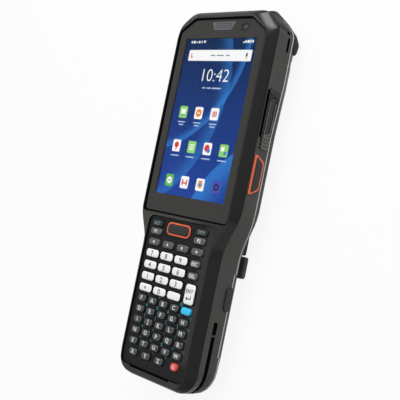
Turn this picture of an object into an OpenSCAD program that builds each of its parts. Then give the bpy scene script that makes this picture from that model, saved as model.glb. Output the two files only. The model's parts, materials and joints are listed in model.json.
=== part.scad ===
// Handheld barcode data terminal with a keypad grip, lying on its back, screen up.
// Millimetres. +Y points to the scanner end, +X to the right of the screen, +Z out of the screen.
// The origin is on the surface that the back rests on, under the centre of the object.

/* [Body] */
// Length of the scanner hood beyond the front housing
hood_len = 4.6; // [3.6:0.2:6]
// Distance from the top end of the front housing to the touch glass
brow_len = 5.8; // [5.4:0.2:7]
// Distance between the touch glass and the keypad bezel
keypad_gap = 2.8; // [2.6:0.2:4]
// Distance from the keypad bezel to the bottom of the grip
tail_len = 6; // [5.8:0.1:7]
// Width across the head
head_w = 73.8; // [73:0.2:79]
// Width across the grip
grip_w = 64; // [63:0.5:68]
// Height of the touch glass above the surface that the back rests on
head_depth = 27; // [26.5:0.5:30]
// Height of the grip's back above that surface
grip_lift = 5; // [4.8:0.1:5.6]
// Thickness of the housing walls
wall = 2; // [1.8:0.1:2.2]
// How much higher than the grip's back its end lies
tail_lift = 2; // [1:0.1:2.4]
// Radius of the grip's bottom corners
tail_r = 16; // [14:0.5:17]
// Distance of the parting line below the glass, round the scanner end
part_head = 15.6; // [15:0.1:16]
// Distance of the parting line below the glass, beside the triggers
part_trigger = 13.6; // [13.2:0.1:14]
// Distance of the parting line below the glass, along the grip
part_grip = 14.4; // [14:0.1:14.8]
// Distance of the battery cover's edge below the glass
part_cover = 13.2; // [12.8:0.1:13.6]

/* [Screen] */
// Width of the touch glass
glass_w = 61.4; // [60.6:0.2:61.8]
// Length of the touch glass
glass_len = 106.2; // [105:0.2:107]
// Thickness of the touch glass
glass_t = 1.1; // [0.8:0.1:1.2]
// Width of the picture on the display
screen_w = 51.84; // [50:0.02:53]
// Length of the picture on the display
screen_len = 86.4; // [84:0.1:88]
// Distance from the upper edge of the touch glass to the picture
screen_top = 10; // [9:0.2:10.6]
// Thickness of the display panel
display_t = 1.9; // [1.5:0.1:2]

/* [Keypad] */
// Width of the keypad bezel
bezel_w = 49; // [48.8:0.2:49.6]
// Distance from the lowest keys to the lower end of the keypad bezel
keypad_end = 5.4; // [5.2:0.1:6.4]
// Thickness of the keypad bezel
bezel_t = 1.2; // [1:0.1:1.3]
// Distance between the columns of digit keys
digit_pitch_x = 11.1; // [10.9:0.1:11.3]
// Distance between the rows of digit keys
digit_pitch_y = 6.3; // [6:0.1:6.4]
// Distance between the columns of letter keys
letter_pitch_x = 8.5; // [8:0.1:8.7]
// Distance between the rows of letter keys
letter_pitch_y = 5.8; // [5.6:0.1:5.9]
// Height of the key tops above the bezel
key_rise = 1.5; // [1.2:0.1:2]
// Travel of a key
key_travel = 0.7; // [0.5:0.05:0.8]
// Gap between a key and its opening in the bezel
key_gap = 0.15; // [0.1:0.05:0.2]

/* [Side parts] */
// Length of a side trigger along its longer edge
trigger_len = 21; // [19:0.5:22]
// Width of a side trigger and its ring
trigger_w = 7; // [6.6:0.2:7.4]
// Width of the ring round a side trigger
ring_w = 0.8; // [0.7:0.1:1.2]
// Travel of a side trigger
trigger_travel = 0.6; // [0.4:0.1:0.7]
// Length of the port cover
cover_len = 26; // [25:0.5:28]
// Height of the port cover
cover_h = 7.4; // [7:0.2:8]
// Thickness of the port cover
cover_t = 1.6; // [1.2:0.1:1.8]
// Radius of the hinge pin of the port cover
hinge_pin_r = 0.35; // [0.3:0.05:0.4]
// Length of a battery latch
latch_len = 12; // [11:0.5:14]
// Height of a battery latch
latch_h = 4.6; // [4.4:0.2:5.2]
// Travel of a battery latch
latch_travel = 1.2; // [0.8:0.1:1.4]

/* [Back parts] */
// Length of the battery cover
battery_cover_len = 43; // [40:0.2:43.6]
// Distance from the side of the grip to the battery pack
battery_inset = 9.8; // [9.4:0.2:12]
// Width of the strap's webbing
strap_w = 26; // [22:0.5:27]
// Width of the strap's bracket
bracket_w = 52; // [50:0.5:53]
// Radius of the rear camera's lens barrel
camera_r = 4.6; // [4:0.1:5]
// Radius of the shank of a housing screw
screw_r = 1; // [0.9:0.05:1.1]

/* [Hidden] */
$fn = 48;

// Clearances
air = 0.1;            // between parts that only lie side by side
fit_gap = 0.05;       // round a screw or a pin
slide_gap = 0.2;      // round a button in its opening
bay_gap = 0.3;        // between the battery cover and the rear housing

// Heights: z_at(d) is the height of a level that lies d below the glass
function z_at(d) = head_depth - d;
back_grip = head_depth - grip_lift;
grip_rim = -1.5;      // the rim stands this far above the glass round the keypad
head_rim = -1.05;     // and this far round the screen
shelf_head = 2.8;     // underside of the front wall, round the screen
shelf_grip = 2.6;     // underside of the front wall, round the keypad

// Rows of keys, as distances from the upper end of the keypad bezel
digit_y0 = -20.2;
letter_y0 = digit_y0 - 3 * digit_pitch_y - 5.7;
letter_y5 = letter_y0 - 5 * letter_pitch_y;
letter_w = 6.2;
letter_h = 3.8;

// Places along the body
bezel_len = keypad_end + letter_h / 2 - letter_y5;
body_len = hood_len + brow_len + glass_len + keypad_gap + bezel_len + tail_len;
y_top = body_len / 2;
y_bot = -body_len / 2;
head_top = y_top - hood_len;
glass_y1 = head_top - brow_len;
glass_y0 = glass_y1 - glass_len;
screen_y = glass_y1 - screen_top - screen_len / 2;
keypad_y1 = glass_y0 - keypad_gap;
keypad_y0 = keypad_y1 - bezel_len;
waist_y1 = glass_y0 + 9;
waist_y0 = glass_y0 - 18;
rim_waist_y1 = glass_y0 + 2;
bay_y0 = y_bot + 22.7;
bay_y1 = bay_y0 + battery_cover_len;
bracket_y1 = glass_y0 - 4.2;

// Outline of the body
corner_x = 12;        // length of the cut corner along the top edge, on the side walls
corner_y = 9.5;       // and along the side
corner_r = 4;         // rounding at both ends of the cut corner
far = 200;            // longer than the object, for cutting solids

function lerp(a, b, t) = a + (b - a) * t;
function clamp(t) = max(0, min(1, t));
function smooth(t) = t * t * (3 - 2 * t);
function unit(v) = v / norm(v);

// How the back rises from the scanner end (0) to the grip (1) and its end. Each row: Y, share of the grip's
// height
BACK = [
    [bay_y0 - 4.5, 1 + tail_lift / grip_lift],
    [bay_y0 - 1, 1],
    [bracket_y1 + 1, 1],
    [glass_y0 + 7.8, 0.47],
    [glass_y0 + 21.8, 0.44],
    [screen_y - 4, 0.32],
    [screen_y + 23, 0]
];
function back_step(y) = lookup(y, BACK);

// 0 along the head, 1 along the grip: the width changes over the waist, at the rim from its lower half on
function waist(y, y1) = smooth(clamp((y1 - y) / (y1 - waist_y0)));

// Points of a rounded corner at p, between its neighbours a and b
function bend(a, p, b, r, n = 3) =
    let (u = p + r * unit(a - p), v = p + r * unit(b - p))
    [for (i = [0:n]) let (t = i / n) (1 - t) * (1 - t) * u + 2 * t * (1 - t) * p + t * t * v];

// A polygon with every corner rounded
function rounded(pts, r, n = 3) =
    let (k = len(pts))
    [for (i = [0:k - 1]) each bend(pts[(i + k - 1) % k], pts[i], pts[(i + 1) % k], r, n)];

function rect(w, h) = [[w / 2, h / 2], [w / 2, -h / 2], [-w / 2, -h / 2], [-w / 2, h / 2]];
function moved(pts, d) = [for (p = pts) p + d];
function at_height(pts, z) = [for (p = pts) [p.x, p.y, z]];

// A closed solid through rings of points, where the second half of each ring runs back beside the first
module skin(rings) {
    n = len(rings[0]);
    m = len(rings);
    top = (m - 1) * n;
    sides = [
        for (k = [0:m - 2], i = [0:n - 1])
            let (a = k * n + i, b = k * n + (i + 1) % n)
            each [[a, b, b + n], [a, b + n, a + n]]
    ];
    caps = [
        for (i = [0:n / 2 - 2])
            each [
                [top + i, top + i + 1, top + n - 2 - i, top + n - 1 - i],
                [i, n - 1 - i, n - 2 - i, i + 1]
            ]
    ];
    polyhedron([for (r = rings) each r], concat(sides, caps));
}

// Each row: inset of head, grip, top end and bottom end, depth at the head and at the grip, how much smaller
// the bottom corners' radius is, and share of the cut corners
OUTER = [
    [9.9, 9.1, 5, 5.5, head_depth, back_grip, 5, 1],
    [7.6, 6.8, 3, 3, head_depth - 0.8, back_grip - 0.9, 3.5, 1],
    [0.8, 1.3, 0.6, 0.8, part_head + 1.6, 16.2, 1, 1],
    [0.1, 0.25, 0.1, 0.2, part_head + 0.2, 15, 0.3, 1],
    [0, 0, 0, 0, part_head - 2.9, 12.5, 0, 1],
    [0.4, 2.2, 0.3, 0.6, 3.6, 2.9, 4, 0.82],
    [0.8, 2.8, 0.6, 0.9, 2.8, 2, 4.5, 0.82],
    [4.4, 6.7, 2.9, 2.3, head_rim + 0.3, grip_rim + 0.3, 7.5, 0.94],
    [4.7, 7, 3.2, 2.6, head_rim, grip_rim, 8, 0.94]
];

// The first four rows are on the back (-1), the last two on the rim (1)
function row_place(i) = i < 4 ? -1 : i > 6 ? 1 : 0;

// The ring of row i, d inside the surface and another w at the sides, with the depths dh and dg
function body_ring(i, d, w, dh, dg) =
    let (
        p = OUTER[i],
        place = row_place(i),
        wh = head_w / 2 - p[0] - d - w,
        wg = grip_w / 2 - p[1] - d - w,
        y1 = head_top - p[2] - d,
        y0 = y_bot + p[3] + d,
        a = [wh - p[7] * corner_x, y1],
        b = [wh, y1 - p[7] * corner_y],
        r = tail_r - p[6] - d,
        right = concat(
            bend([0, y1], a, b, corner_r),
            bend(a, b, [wh, y0], corner_r),
            [for (i = [6:-1:4]) [wh, BACK[i][0]]],
            [
                for (i = [0:7])
                    let (y = lerp(waist_y1, waist_y0, i / 7))
                    [lerp(wh, wg, waist(y, place > 0 ? rim_waist_y1 : waist_y1)), y]
            ],
            [for (i = [1:-1:0]) [wg, BACK[i][0]]],
            [for (i = [0:6]) let (t = 15 * i) [wg - r + r * cos(t), y0 + r - r * sin(t)]]
        ),
        raised = [
            for (p = right)
                [p.x, p.y, z_at(lerp(dh, dg, place < 0 ? back_step(p.y) : waist(p.y, waist_y1)))]
        ],
        k = len(raised)
    )
    concat(raised, [for (i = [k - 1:-1:0]) [-raised[i].x, raised[i].y, raised[i].z]]);

// The body's outer shape, or one whose surface lies d inside it
module body_solid(d = 0) {
    last = len(OUTER) - 1;
    skin([
        for (i = [0:last])
            let (s = i < 2 ? -d : i > last - 2 ? d : 0)
            body_ring(i, d, 0, OUTER[i][4] + s, OUTER[i][5] + s)
    ]);
}

// The hollow inside the housings, with a front wall thick enough for the glass and the keypad
module hollow(d = wall) {
    skin([
        for (i = [0:6])
            let (
                p = OUTER[i],
                s = i < 2 ? -d : 0,
                dh = i == 6 ? shelf_head + d - wall : i == 5 ? p[4] + 0.6 : p[4] + s,
                dg = i == 6 ? shelf_grip + d - wall : i == 5 ? p[5] + 0.6 : p[5] + s
            )
            body_ring(i, d, i == 6 ? 0.8 : 0, dh, dg)
    ]);
}

// Height of the parting line at the places where it bends
PARTING = [
    [far, z_at(part_head)],
    [BACK[6][0] - 0.9, z_at(part_head)],
    [BACK[5][0] - 0.9, z_at(part_trigger)],
    [waist_y1 - 1.3, z_at(part_trigger)],
    [bracket_y1 + 1, z_at(part_grip)],
    [bay_y1 + bay_gap / 2, z_at(part_grip)],
    [bay_y1 + bay_gap / 2, z_at(part_cover)],
    [bay_y0 - bay_gap / 2, z_at(part_cover)],
    [bay_y0 - bay_gap / 2, z_at(part_grip)],
    [-far, z_at(part_grip)]
];

// Everything above the parting line moved by d
module above_parting(d = 0) {
    rotate([90, 0, 90])
        linear_extrude(height = far, center = true)
            polygon(concat([for (p = PARTING) p + [0, d]], [[-far, far], [far, far]]));
}

// A solid that stands on the level z0, with the outline pts
module block(pts, z0, h) {
    translate([0, 0, z0])
        linear_extrude(height = h)
            polygon(pts);
}

// A solid whose outline, in Y and Z, is drawn on a side wall and runs along X
module side_block(pts, x0, w) {
    translate([x0, 0, 0])
        rotate([90, 0, 90])
            linear_extrude(height = w)
                polygon(pts);
}

// The same piece on the right and on the left
module both_sides() {
    children();
    mirror([1, 0, 0]) children();
}

// ---- Screws -------------------------------------------------------------------------------
screw_head_r = 2;
screw_head_h = 1.4;
boss_r = 2.3;
boss_top = 2.1;       // depth of a boss's end below the glass, inside the front wall
boss_floor = 0.9;     // thickness under the head of a screw, and round it
screw_tip = 7.5;      // depth of the screw's tip below the glass

// Each row: X, Y, depth of the back below the glass, and how far in front of the back the head sits
SCREWS = [
    [head_w / 2 - 7, head_top - 23, head_depth, 7.5],
    [head_w / 2 - 7, waist_y1 - 2, head_depth, 7.5],
    [grip_w / 2 - 6.1, y_bot + 17.8, back_grip, 5.6]
];

module screw_bosses() {
    both_sides()
        for (s = SCREWS)
            translate([s.x, s.y, z_at(s.z)]) {
                cylinder(r = boss_r, h = s.z - boss_top);
                cylinder(r = screw_head_r + slide_gap + boss_floor, h = s[3] + boss_floor);
            }
}

module screw_holes() {
    both_sides()
        for (s = SCREWS)
            translate([s.x, s.y, z_at(s.z)]) {
                translate([0, 0, -1]) cylinder(r = screw_head_r + slide_gap, h = s[3] + 1);
                cylinder(r = screw_r + fit_gap, h = s.z - screw_tip + 0.3);
            }
}

// ---- Front housing ------------------------------------------------------------------------
glass_cut_x = 10;
glass_cut_y = 6.8;
rim_slope = 1.25;     // width of the slope between the glass and the crest of the rim
gutter_w = 0.9;       // width and depth of the dark line round the glass
gutter_deep = 0.5;

// Outline of the glass, or one that lies d inside it
function glass_pts(d = 0) =
    let (
        w = glass_w / 2 - d,
        y1 = glass_y1 - d,
        y0 = glass_y0 + d,
        x = w - glass_cut_x + d,
        y = y1 - glass_cut_y + 0.7 * d
    )
    concat(
        bend([0, y1], [x, y1], [w, y], 1.5),
        bend([x, y1], [w, y], [w, y0], 1.5),
        bend([w, y1], [w, y0], [-w, y0], 2),
        bend([w, y0], [-w, y0], [-w, y1], 2),
        bend([-w, y0], [-w, y], [-x, y1], 1.5),
        bend([-w, y], [-x, y1], [0, y1], 1.5)
    );

// The slope that leads from the rim down to the glass
module rim_dish() {
    over = 0.5;
    skin([
        at_height(glass_pts(), z_at(0)),
        at_height(glass_pts(-rim_slope - over), z_at(head_rim) + over)
    ]);
}

display_w = screen_w + 3;
display_len = screen_len + 5;
bezel_top = z_at(-0.4);
bezel_z0 = bezel_top - bezel_t;
bezel_y = (keypad_y1 + keypad_y0) / 2;
shelf_x = 1.6;        // width of the ledge that the bezel lies on, at its sides
shelf_y = 0.6;        // and at its ends

// Side openings: the trigger, the port cover and the latch, as outlines in Y and Z
trigger_y = waist_y1 + 18.2;
trigger_z = z_at(8);
trigger_taper = 3.3;  // how much shorter the rear edge is, at each end

function trapezoid(len1, w, taper, d) =
    [
        [len1 / 2 - d - 0.3 * d, w / 2 - d],
        [len1 / 2 - taper - d, -w / 2 + d],
        [-len1 / 2 + taper + d, -w / 2 + d],
        [-len1 / 2 + d + 0.3 * d, w / 2 - d]
    ];

function trigger_pts(d = 0) =
    moved(rounded(trapezoid(trigger_len, trigger_w, trigger_taper, d), 1.2), [trigger_y, trigger_z]);

port_y = trigger_y + 31.4;
port_z = z_at(9.2);
port_pocket = cover_t + 0.4;
port_taper = 1.6;

function port_pts(d = 0) =
    moved(rounded(trapezoid(cover_len, cover_h, port_taper, d), 1), [port_y, port_z]);

latch_y = bay_y1 - 13;
latch_z = z_at(11.8);
latch_lean = 1.1;     // how far the leaning side of the grip lies inwards at the latch

function latch_pts(d = 0) =
    moved(rounded(rect(latch_len - 2 * d, latch_h - 2 * d), latch_h / 2 - d - 0.05, 5), [latch_y, latch_z]);

trigger_ring_t = 1.2; // depth of the ring in the wall
guide_t = 2.6;        // thickness of the wall behind a side opening

module latch_openings() {
    both_sides()
        side_block(latch_pts(-slide_gap), grip_w / 2 - 10, 11);
}

module side_openings() {
    x = head_w / 2;
    both_sides() {
        side_block(trigger_pts(-fit_gap), x - trigger_ring_t, 2);
        side_block(trigger_pts(ring_w), x - 10, 11);
    }
    latch_openings();
    side_block(port_pts(-slide_gap), x - port_pocket, port_pocket + 2);
    side_block(moved(rect(connector_w + 2 * slide_gap, connector_h + 2 * slide_gap), [port_y, port_z]),
        x - 10, 11);
    side_block(moved(rect(tab_len + 2 * slide_gap, tab_h + 2 * slide_gap), [tab_y, port_z]), x - 0.5, 2);
    side_block(moved(rect(cover_len - 1.6, 1.6), [port_y, port_z + cover_h / 2 + 0.7]), x - port_pocket, 4);
}

// Thicker wall behind the trigger, and behind the port cover on the right, or one that reaches d further
module side_guides(d = 0) {
    x = head_w / 2 - wall - d;
    both_sides()
        side_block(trigger_pts(-1.6 - d), x - guide_t + 1.2, guide_t + d);
    side_block(moved(rect(cover_len + 3 + 2 * d, cover_h + 3 + 2 * d), [port_y, port_z]), x - guide_t + 0.6,
        guide_t + d);
}

// Grooves: the cord slot and its upper hole at the top of the side, the line under the keypad, and on the grip
// the short slot and the long one that runs round the bottom corner
groove_z = z_at(7.3);
groove_t = 2.2;
groove_deep = 1.3;
groove_len = 32.9;
groove_wrap = 10.5;   // how far the long groove runs round the corner, in from the side
slot_len = 6.6;
slot_y = y_bot + groove_len + 0.8 + slot_len / 2;

module front_grooves() {
    side_block(moved(rounded(rect(7.6, 1.6), 0.7), [head_top - 16.5, z_at(11.8)]), head_w / 2 - groove_deep, 3);
    side_block(moved(rounded(rect(1.6, 1.8), 0.5), [head_top - 10.6, z_at(10.8)]), head_w / 2 - groove_deep, 3);
    block(moved(rounded(rect(31, 1), 0.4), [-0.8, keypad_y0 - 0.5]), bezel_z0, 4);
    difference() {
        both_sides() {
            translate([grip_w / 2 - groove_wrap, y_bot - 1, groove_z - groove_t / 2])
                cube([groove_wrap + 6, groove_len + 1, groove_t]);
            side_block(moved(rounded(rect(slot_len, groove_t + 0.2), 0.8), [slot_y, groove_z]),
                grip_w / 2 - 6, 9);
        }
        body_solid(groove_deep);
    }
}

// A rebate along the lower edge of the front housing, for the outer lip of the seal
rebate_t = 0.9;
rebate_deep = 0.5;

module parting_rebate() {
    difference() {
        translate([-far, -far, 0]) cube([2 * far, 2 * far, far]);
        above_parting(rebate_t);
        body_solid(rebate_deep);
    }
}

module front_housing() {
    color("#2b2c2b")
        difference() {
            union() {
                difference() {
                    intersection() {
                        body_solid();
                        above_parting();
                    }
                    hollow();
                }
                intersection() {
                    hollow(wall - 0.2);
                    above_parting();
                    union() {
                        side_guides();
                        screw_bosses();
                    }
                }
            }
            block(glass_pts(-air), z_at(glass_t + air), 6);
            block(glass_pts(-gutter_w), z_at(gutter_deep), 6);
            rim_dish();
            translate([0, screen_y, 0])
                block(rounded(rect(display_w + 4 * air, display_len + 4 * air), 1), z_at(shelf_head + 1), 6);
            block(earpiece_pts(-air), z_at(shelf_head + 1), 6);
            translate([0, bezel_y, 0]) {
                block(rounded(rect(bezel_w + 2 * slide_gap, bezel_len + 2 * slide_gap), 4), bezel_z0 - air, 6);
                block(rounded(rect(bezel_w - 2 * shelf_x, bezel_len - 2 * shelf_y), 3),
                    z_at(shelf_grip + 1), 6);
            }
            translate([selfie_x, selfie_y, z_at(shelf_head + 1)]) cylinder(r = selfie_r + air, h = 6);
            side_openings();
            screw_holes();
            front_grooves();
            dock_pocket();
            parting_rebate();
        }
}

// ---- Screen -------------------------------------------------------------------------------
selfie_x = 16;
selfie_y = screen_y + 49;
selfie_r = 1.8;
earpiece_h = 4.6;

function earpiece_pts(d = 0) =
    let (y1 = glass_y1 - 0.9, y0 = y1 - earpiece_h)
    rounded([[9 - d, y1 - d], [6.4 - d, y0 + d], [-6.4 + d, y0 + d], [-9 + d, y1 - d]], 0.8);

module touch_glass() {
    color([0.2, 0.21, 0.22])
        difference() {
            block(glass_pts(), z_at(glass_t), glass_t);
            block(earpiece_pts(-fit_gap), z_at(glass_t + 1), 4);
            translate([selfie_x, selfie_y, z_at(glass_t + 1)]) cylinder(r = selfie_r + fit_gap, h = 4);
        }
}

module display_panel() {
    color("#1b3f86")
        translate([0, screen_y, 0])
            block(rounded(rect(display_w, display_len), 0.6), z_at(glass_t + fit_gap + display_t), display_t);
}

module earpiece_grille() {
    pitch = 1.1;
    color("#73787b")
        difference() {
            block(earpiece_pts(), z_at(1.6), 1.3);
            for (i = [-5:5], j = [-1:1])
                translate([i * pitch + (j == 0 ? pitch / 2 : 0), glass_y1 - 3.2 + j * pitch, z_at(2)])
                    cylinder(r = 0.32, h = 3, $fn = 16);
        }
}

module front_camera() {
    color("#101214")
        translate([selfie_x, selfie_y, z_at(shelf_head + 1.6)])
            union() {
                cylinder(r = selfie_r, h = shelf_head + 1.5);
                translate([-3, -3, 0]) cube([6, 6, 1.4]);
            }
}

// ---- Keypad -------------------------------------------------------------------------------
flange = 0.25;        // how far the foot of a key reaches under the bezel, beyond the opening
flange_t = 0.8;
foot_gap = 0.15;      // between the foot of a key and the bezel

// Keys: name, centre from the middle of the bezel's top edge, width, height, colour, radius of the corners
function key(name, x, y, w, h, c, r = 1) = [name, x, y, w, h, c, r];
dark = "#3c3f41";
grey = "#6a6d70";
white = "#f2f2f0";
side_x = 17;
digit_x0 = -16.3;
DIGIT_NAMES = ["7", "8", "9", "4", "5", "6", "1", "2", "3", "star", "0", "plain"];
KEYS = concat(
    [
        key("scan_key", -0.8, -5.2, 15.4, 4.8, dark, 2),
        key("power_key", side_x - 0.8, letter_y5, 4.8, 4, "#f2726a"),
        key("enter_key", side_x, digit_y0 - 2.5 * digit_pitch_y, 7.2, 10.6, white),
        key("blue_key", side_x - 0.4, letter_y0, 6.8, 3.8, "#3fb8f5"),
        key("left_soft_key", -side_x, -3.7, 8, 3.4, dark),
        key("right_soft_key", side_x - 0.4, -3.7, 8, 3.4, dark),
        key("p1_key", -side_x, -8.2, 8.4, 3.6, grey),
        key("p2_key", side_x - 0.8, -8.2, 8.4, 3.6, grey)
    ],
    [
        for (i = [0:3])
            key(["left_arrow_key", "up_arrow_key", "down_arrow_key", "right_arrow_key"][i],
                11 * (i - 1.5) - 0.4, -14, 8.2, 3.8, grey)
    ],
    [
        for (i = [0:11])
            key(str("key_", DIGIT_NAMES[i]), digit_x0 + digit_pitch_x * (i % 3),
                digit_y0 - digit_pitch_y * floor(i / 3), 9.7, 4.3, white, 1.4)
    ],
    [
        for (i = [0:1])
            key(["escape_key", "delete_key"][i], side_x - 0.6, digit_y0 - digit_pitch_y * i, 6.8, 3.8, grey)
    ]
);

// Letter keys are one group for each two rows: row, column of each key
function letter(row, col) = [letter_pitch_x * (col - 2) - 0.4, letter_y0 - letter_pitch_y * row];
LETTERS = [
    [
        "letter_keys_a_to_h",
        concat([for (c = [0:3]) letter(0, c)], [for (c = [0:4]) letter(1, c)])
    ],
    [
        "letter_keys_i_to_r",
        [for (r = [2:3], c = [0:4]) letter(r, c)]
    ],
    [
        "letter_keys_s_to_z",
        concat([for (c = [0:4]) letter(4, c)], [for (c = [0:2]) letter(5, c) + [1.6 + 1.7 * c, 0]])
    ]
];

// Centre, size and corner radius of every key opening
OPENINGS = concat(
    [for (k = KEYS) [k[1], k[2], k[3], k[4], k[6]]],
    [for (g = LETTERS) for (p = g[1]) [p.x, p.y, letter_w, letter_h, 1]]
);

scan_ring_w = 0.9;
scan_ring_gap = 0.15;

module keypad_bezel() {
    color("#222324")
        difference() {
            translate([0, bezel_y, 0])
                block(rounded(rect(bezel_w, bezel_len), 4), bezel_z0, bezel_t);
            for (o = OPENINGS)
                translate([o[0], keypad_y1 + o[1], 0])
                    block(rounded(rect(o[2] + 2 * key_gap, o[3] + 2 * key_gap), o[4]),
                        bezel_z0 - 1, bezel_t + 2);
        }
}

module scan_key_ring() {
    k = KEYS[0];
    color("#e8683f")
        translate([k[1], keypad_y1 + k[2], 0])
            difference() {
                block(rounded(rect(k[3] + 2 * (key_gap + scan_ring_w), k[4] + 2 * (key_gap + scan_ring_w)), 3, 5),
                    bezel_top, 0.7);
                block(rounded(rect(k[3] + 2 * key_gap, k[4] + 2 * key_gap), k[6]), bezel_top - 1, 3);
            }
}

// One key cap with a crowned top, and the foot that keeps it under the bezel
module key_cap(w, h, r = 1) {
    z0 = bezel_z0 - foot_gap - flange_t;
    z1 = bezel_top + key_rise;
    foot = flange + key_gap;
    block(rounded(rect(w + 2 * foot, h + 2 * foot), r), z0, flange_t);
    skin([
        at_height(rounded(rect(w, h), r), z0 + flange_t),
        at_height(rounded(rect(w, h), r), z1 - 0.7),
        at_height(rounded(rect(w - 0.5, h - 0.5), r), z1 - 0.25),
        at_height(rounded(rect(w - 1.6, h - 1.4), r), z1)
    ]);
}

module one_key(k) {
    color(k[5])
        translate([k[1], keypad_y1 + k[2], 0])
            key_cap(k[3], k[4], k[6]);
}

module letter_keys(group) {
    color(dark)
        for (p = group[1])
            translate([p.x, keypad_y1 + p.y, 0])
                key_cap(letter_w, letter_h);
}

// Circuit board under the keys, with a switch pad below each of them
board_w = bezel_w - 2;
keypad_board_z1 = bezel_z0 - foot_gap - flange_t - key_travel - 0.15;

keypad_board_z = z_at(shelf_grip + 2 * air);

module keypad_board() {
    color("#1f5b3a")
        translate([0, keypad_y1, 0])
            union() {
                translate([0, -bezel_len / 2, 0])
                    block(rounded(rect(board_w, bezel_len - 1.4), 1), keypad_board_z - 1, 1);
                for (o = OPENINGS)
                    translate([o[0], o[1], keypad_board_z - 0.5])
                        cylinder(r = 1.5, h = keypad_board_z1 - keypad_board_z + 0.5, $fn = 24);
            }
}

// ---- Side parts ---------------------------------------------------------------------------
module trigger_rings() {
    color("#e8683f")
        both_sides()
            difference() {
                side_block(trigger_pts(), head_w / 2 - trigger_ring_t, trigger_ring_t + 0.4);
                side_block(trigger_pts(ring_w), head_w / 2 - 3, 6);
            }
}

// A push button in a side wall: its cap, and its foot inside the wall
module trigger() {
    x = head_w / 2;
    inner = x - wall - guide_t + 1.2;
    side_block(trigger_pts(ring_w + slide_gap), inner - 0.3, x - inner + trigger_travel + 0.3);
    side_block(trigger_pts(ring_w + slide_gap + 0.7), x, trigger_travel + 0.3);
    side_block(trigger_pts(0.6), inner - 1.2, 1);
}

module right_trigger() {
    color("#26282a") trigger();
}

module left_trigger() {
    color("#26282a") mirror([1, 0, 0]) trigger();
}

latch_foot = 1.3;     // how far the latch reaches inside the wall

module latch() {
    x = grip_w / 2 - latch_lean - wall;
    side_block(latch_pts(), x - 1, wall + latch_lean + 1.4);
    side_block(latch_pts(-0.6), x - latch_foot, 1.1);
}

module right_latch() {
    color("#303234") latch();
}

module left_latch() {
    color("#303234") mirror([1, 0, 0]) latch();
}

// Port cover: a rubber flap that swings about a pin near its upper end, and the fixed anchor with the pin
tab_len = 7.6;        // pull tab below the cover, with ribs across it
tab_h = cover_h - 1.6;
tab_y = port_y - cover_len / 2 - 1.4;
rib_count = 4;
rib_pitch = 1.8;
rib_t = 0.8;
ridge_w = 0.7;        // raised line that follows the edge of the cover
ridge_rise = 0.4;
hinge_r = cover_t / 2;
hinge_y = port_y + cover_len / 2 - 5;
hinge_x = head_w / 2 - hinge_r;
knuckle_h = 4.4;
ear_h = 1.1;
connector_w = 9;
connector_h = 3.4;

module hinge_rod(r, h) {
    translate([hinge_x, hinge_y, port_z - h / 2]) cylinder(r = r, h = h);
}

// The part of the cover's outline between two distances from the hinge axis
module cover_slice(y0, y1, h) {
    intersection() {
        side_block(port_pts(), head_w / 2 - cover_t, cover_t);
        translate([0, y0, port_z - h / 2]) cube([far, y1 - y0, h]);
    }
}

module cover_ridge(y0, y1) {
    intersection() {
        difference() {
            side_block(port_pts(1.1), head_w / 2 - 0.3, 0.3 + ridge_rise);
            side_block(port_pts(1.1 + ridge_w), head_w / 2 - 1, 2);
        }
        translate([0, y0, port_z - cover_h]) cube([far, y1 - y0, 2 * cover_h]);
    }
}

module port_cover() {
    x = head_w / 2;
    color("#2e2f2e")
        difference() {
            union() {
                cover_slice(port_y - far / 2, hinge_y - 1.6 * hinge_r, 2 * cover_h);
                cover_ridge(port_y - far / 2, hinge_y - 2.4 * hinge_r);
                translate([hinge_x - hinge_r, hinge_y - 2 * hinge_r, port_z - knuckle_h / 2])
                    cube([cover_t, 2 * hinge_r, knuckle_h]);
                hinge_rod(hinge_r, knuckle_h);
                side_block(moved(rounded(rect(tab_len, tab_h), 0.5), [tab_y, port_z]), x - 0.4, 0.5);
                for (i = [0:rib_count - 1])
                    side_block(moved(rounded(rect(rib_t, tab_h), 0.3), [tab_y + (i - 1.6) * rib_pitch, port_z]),
                        x - 0.2, 0.8);
            }
            hinge_rod(hinge_pin_r + fit_gap, 2 * cover_h);
        }
}

module port_hinge() {
    gap_h = knuckle_h + 2 * slide_gap;
    color("#2e2f2e")
        union() {
            cover_slice(hinge_y + hinge_r + air, port_y + far / 2, 2 * cover_h);
            cover_ridge(hinge_y + 1.6 * hinge_r, port_y + far / 2);
            difference() {
                cover_slice(hinge_y - hinge_r, hinge_y + hinge_r + 2 * air, gap_h + 2 * ear_h);
                translate([0, hinge_y - 2, port_z - gap_h / 2]) cube([far, 4, gap_h]);
            }
            hinge_rod(hinge_pin_r, gap_h + ear_h);
        }
}

module port_connector() {
    x = head_w / 2 - port_pocket - 0.3;
    depth = 7.5;
    color("#b9bcc0")
        difference() {
            side_block(moved(rounded(rect(connector_w, connector_h), 1.2), [port_y, port_z]), x - depth, depth);
            side_block(moved(rounded(rect(connector_w - 0.8, connector_h - 0.8), 0.9), [port_y, port_z]),
                x - depth + 1, depth);
        }
}

// ---- Rear housing, battery and back parts --------------------------------------------------
tray_z = z_at(8.4);
tray_t = 1.4;
web_t = 2;
scan_w = 24;
scan_h = 7;
scan_z = z_at(20.2);
foot_len = 13;
foot_y = y_bot + 10.4;
strap_t = 1.6;
strap_z = z_at(back_grip) - 1.7;

module bay_region(gap) {
    translate([-far / 2, bay_y0 - gap, -1])
        cube([far, battery_cover_len + 2 * gap, z_at(part_cover) + 3]);
}

module rear_camera_place() {
    translate([-12, screen_y + 34, 0]) children();
}

module flash_place() {
    translate([-1, screen_y + 34, 0]) children();
}

speaker_y = screen_y - 22;
speaker_w = 22;
speaker_len = 16;
speaker_t = 3;
speaker_z = z_at(lerp(head_depth, back_grip, back_step(speaker_y - speaker_len / 2))) + wall + air;

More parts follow.
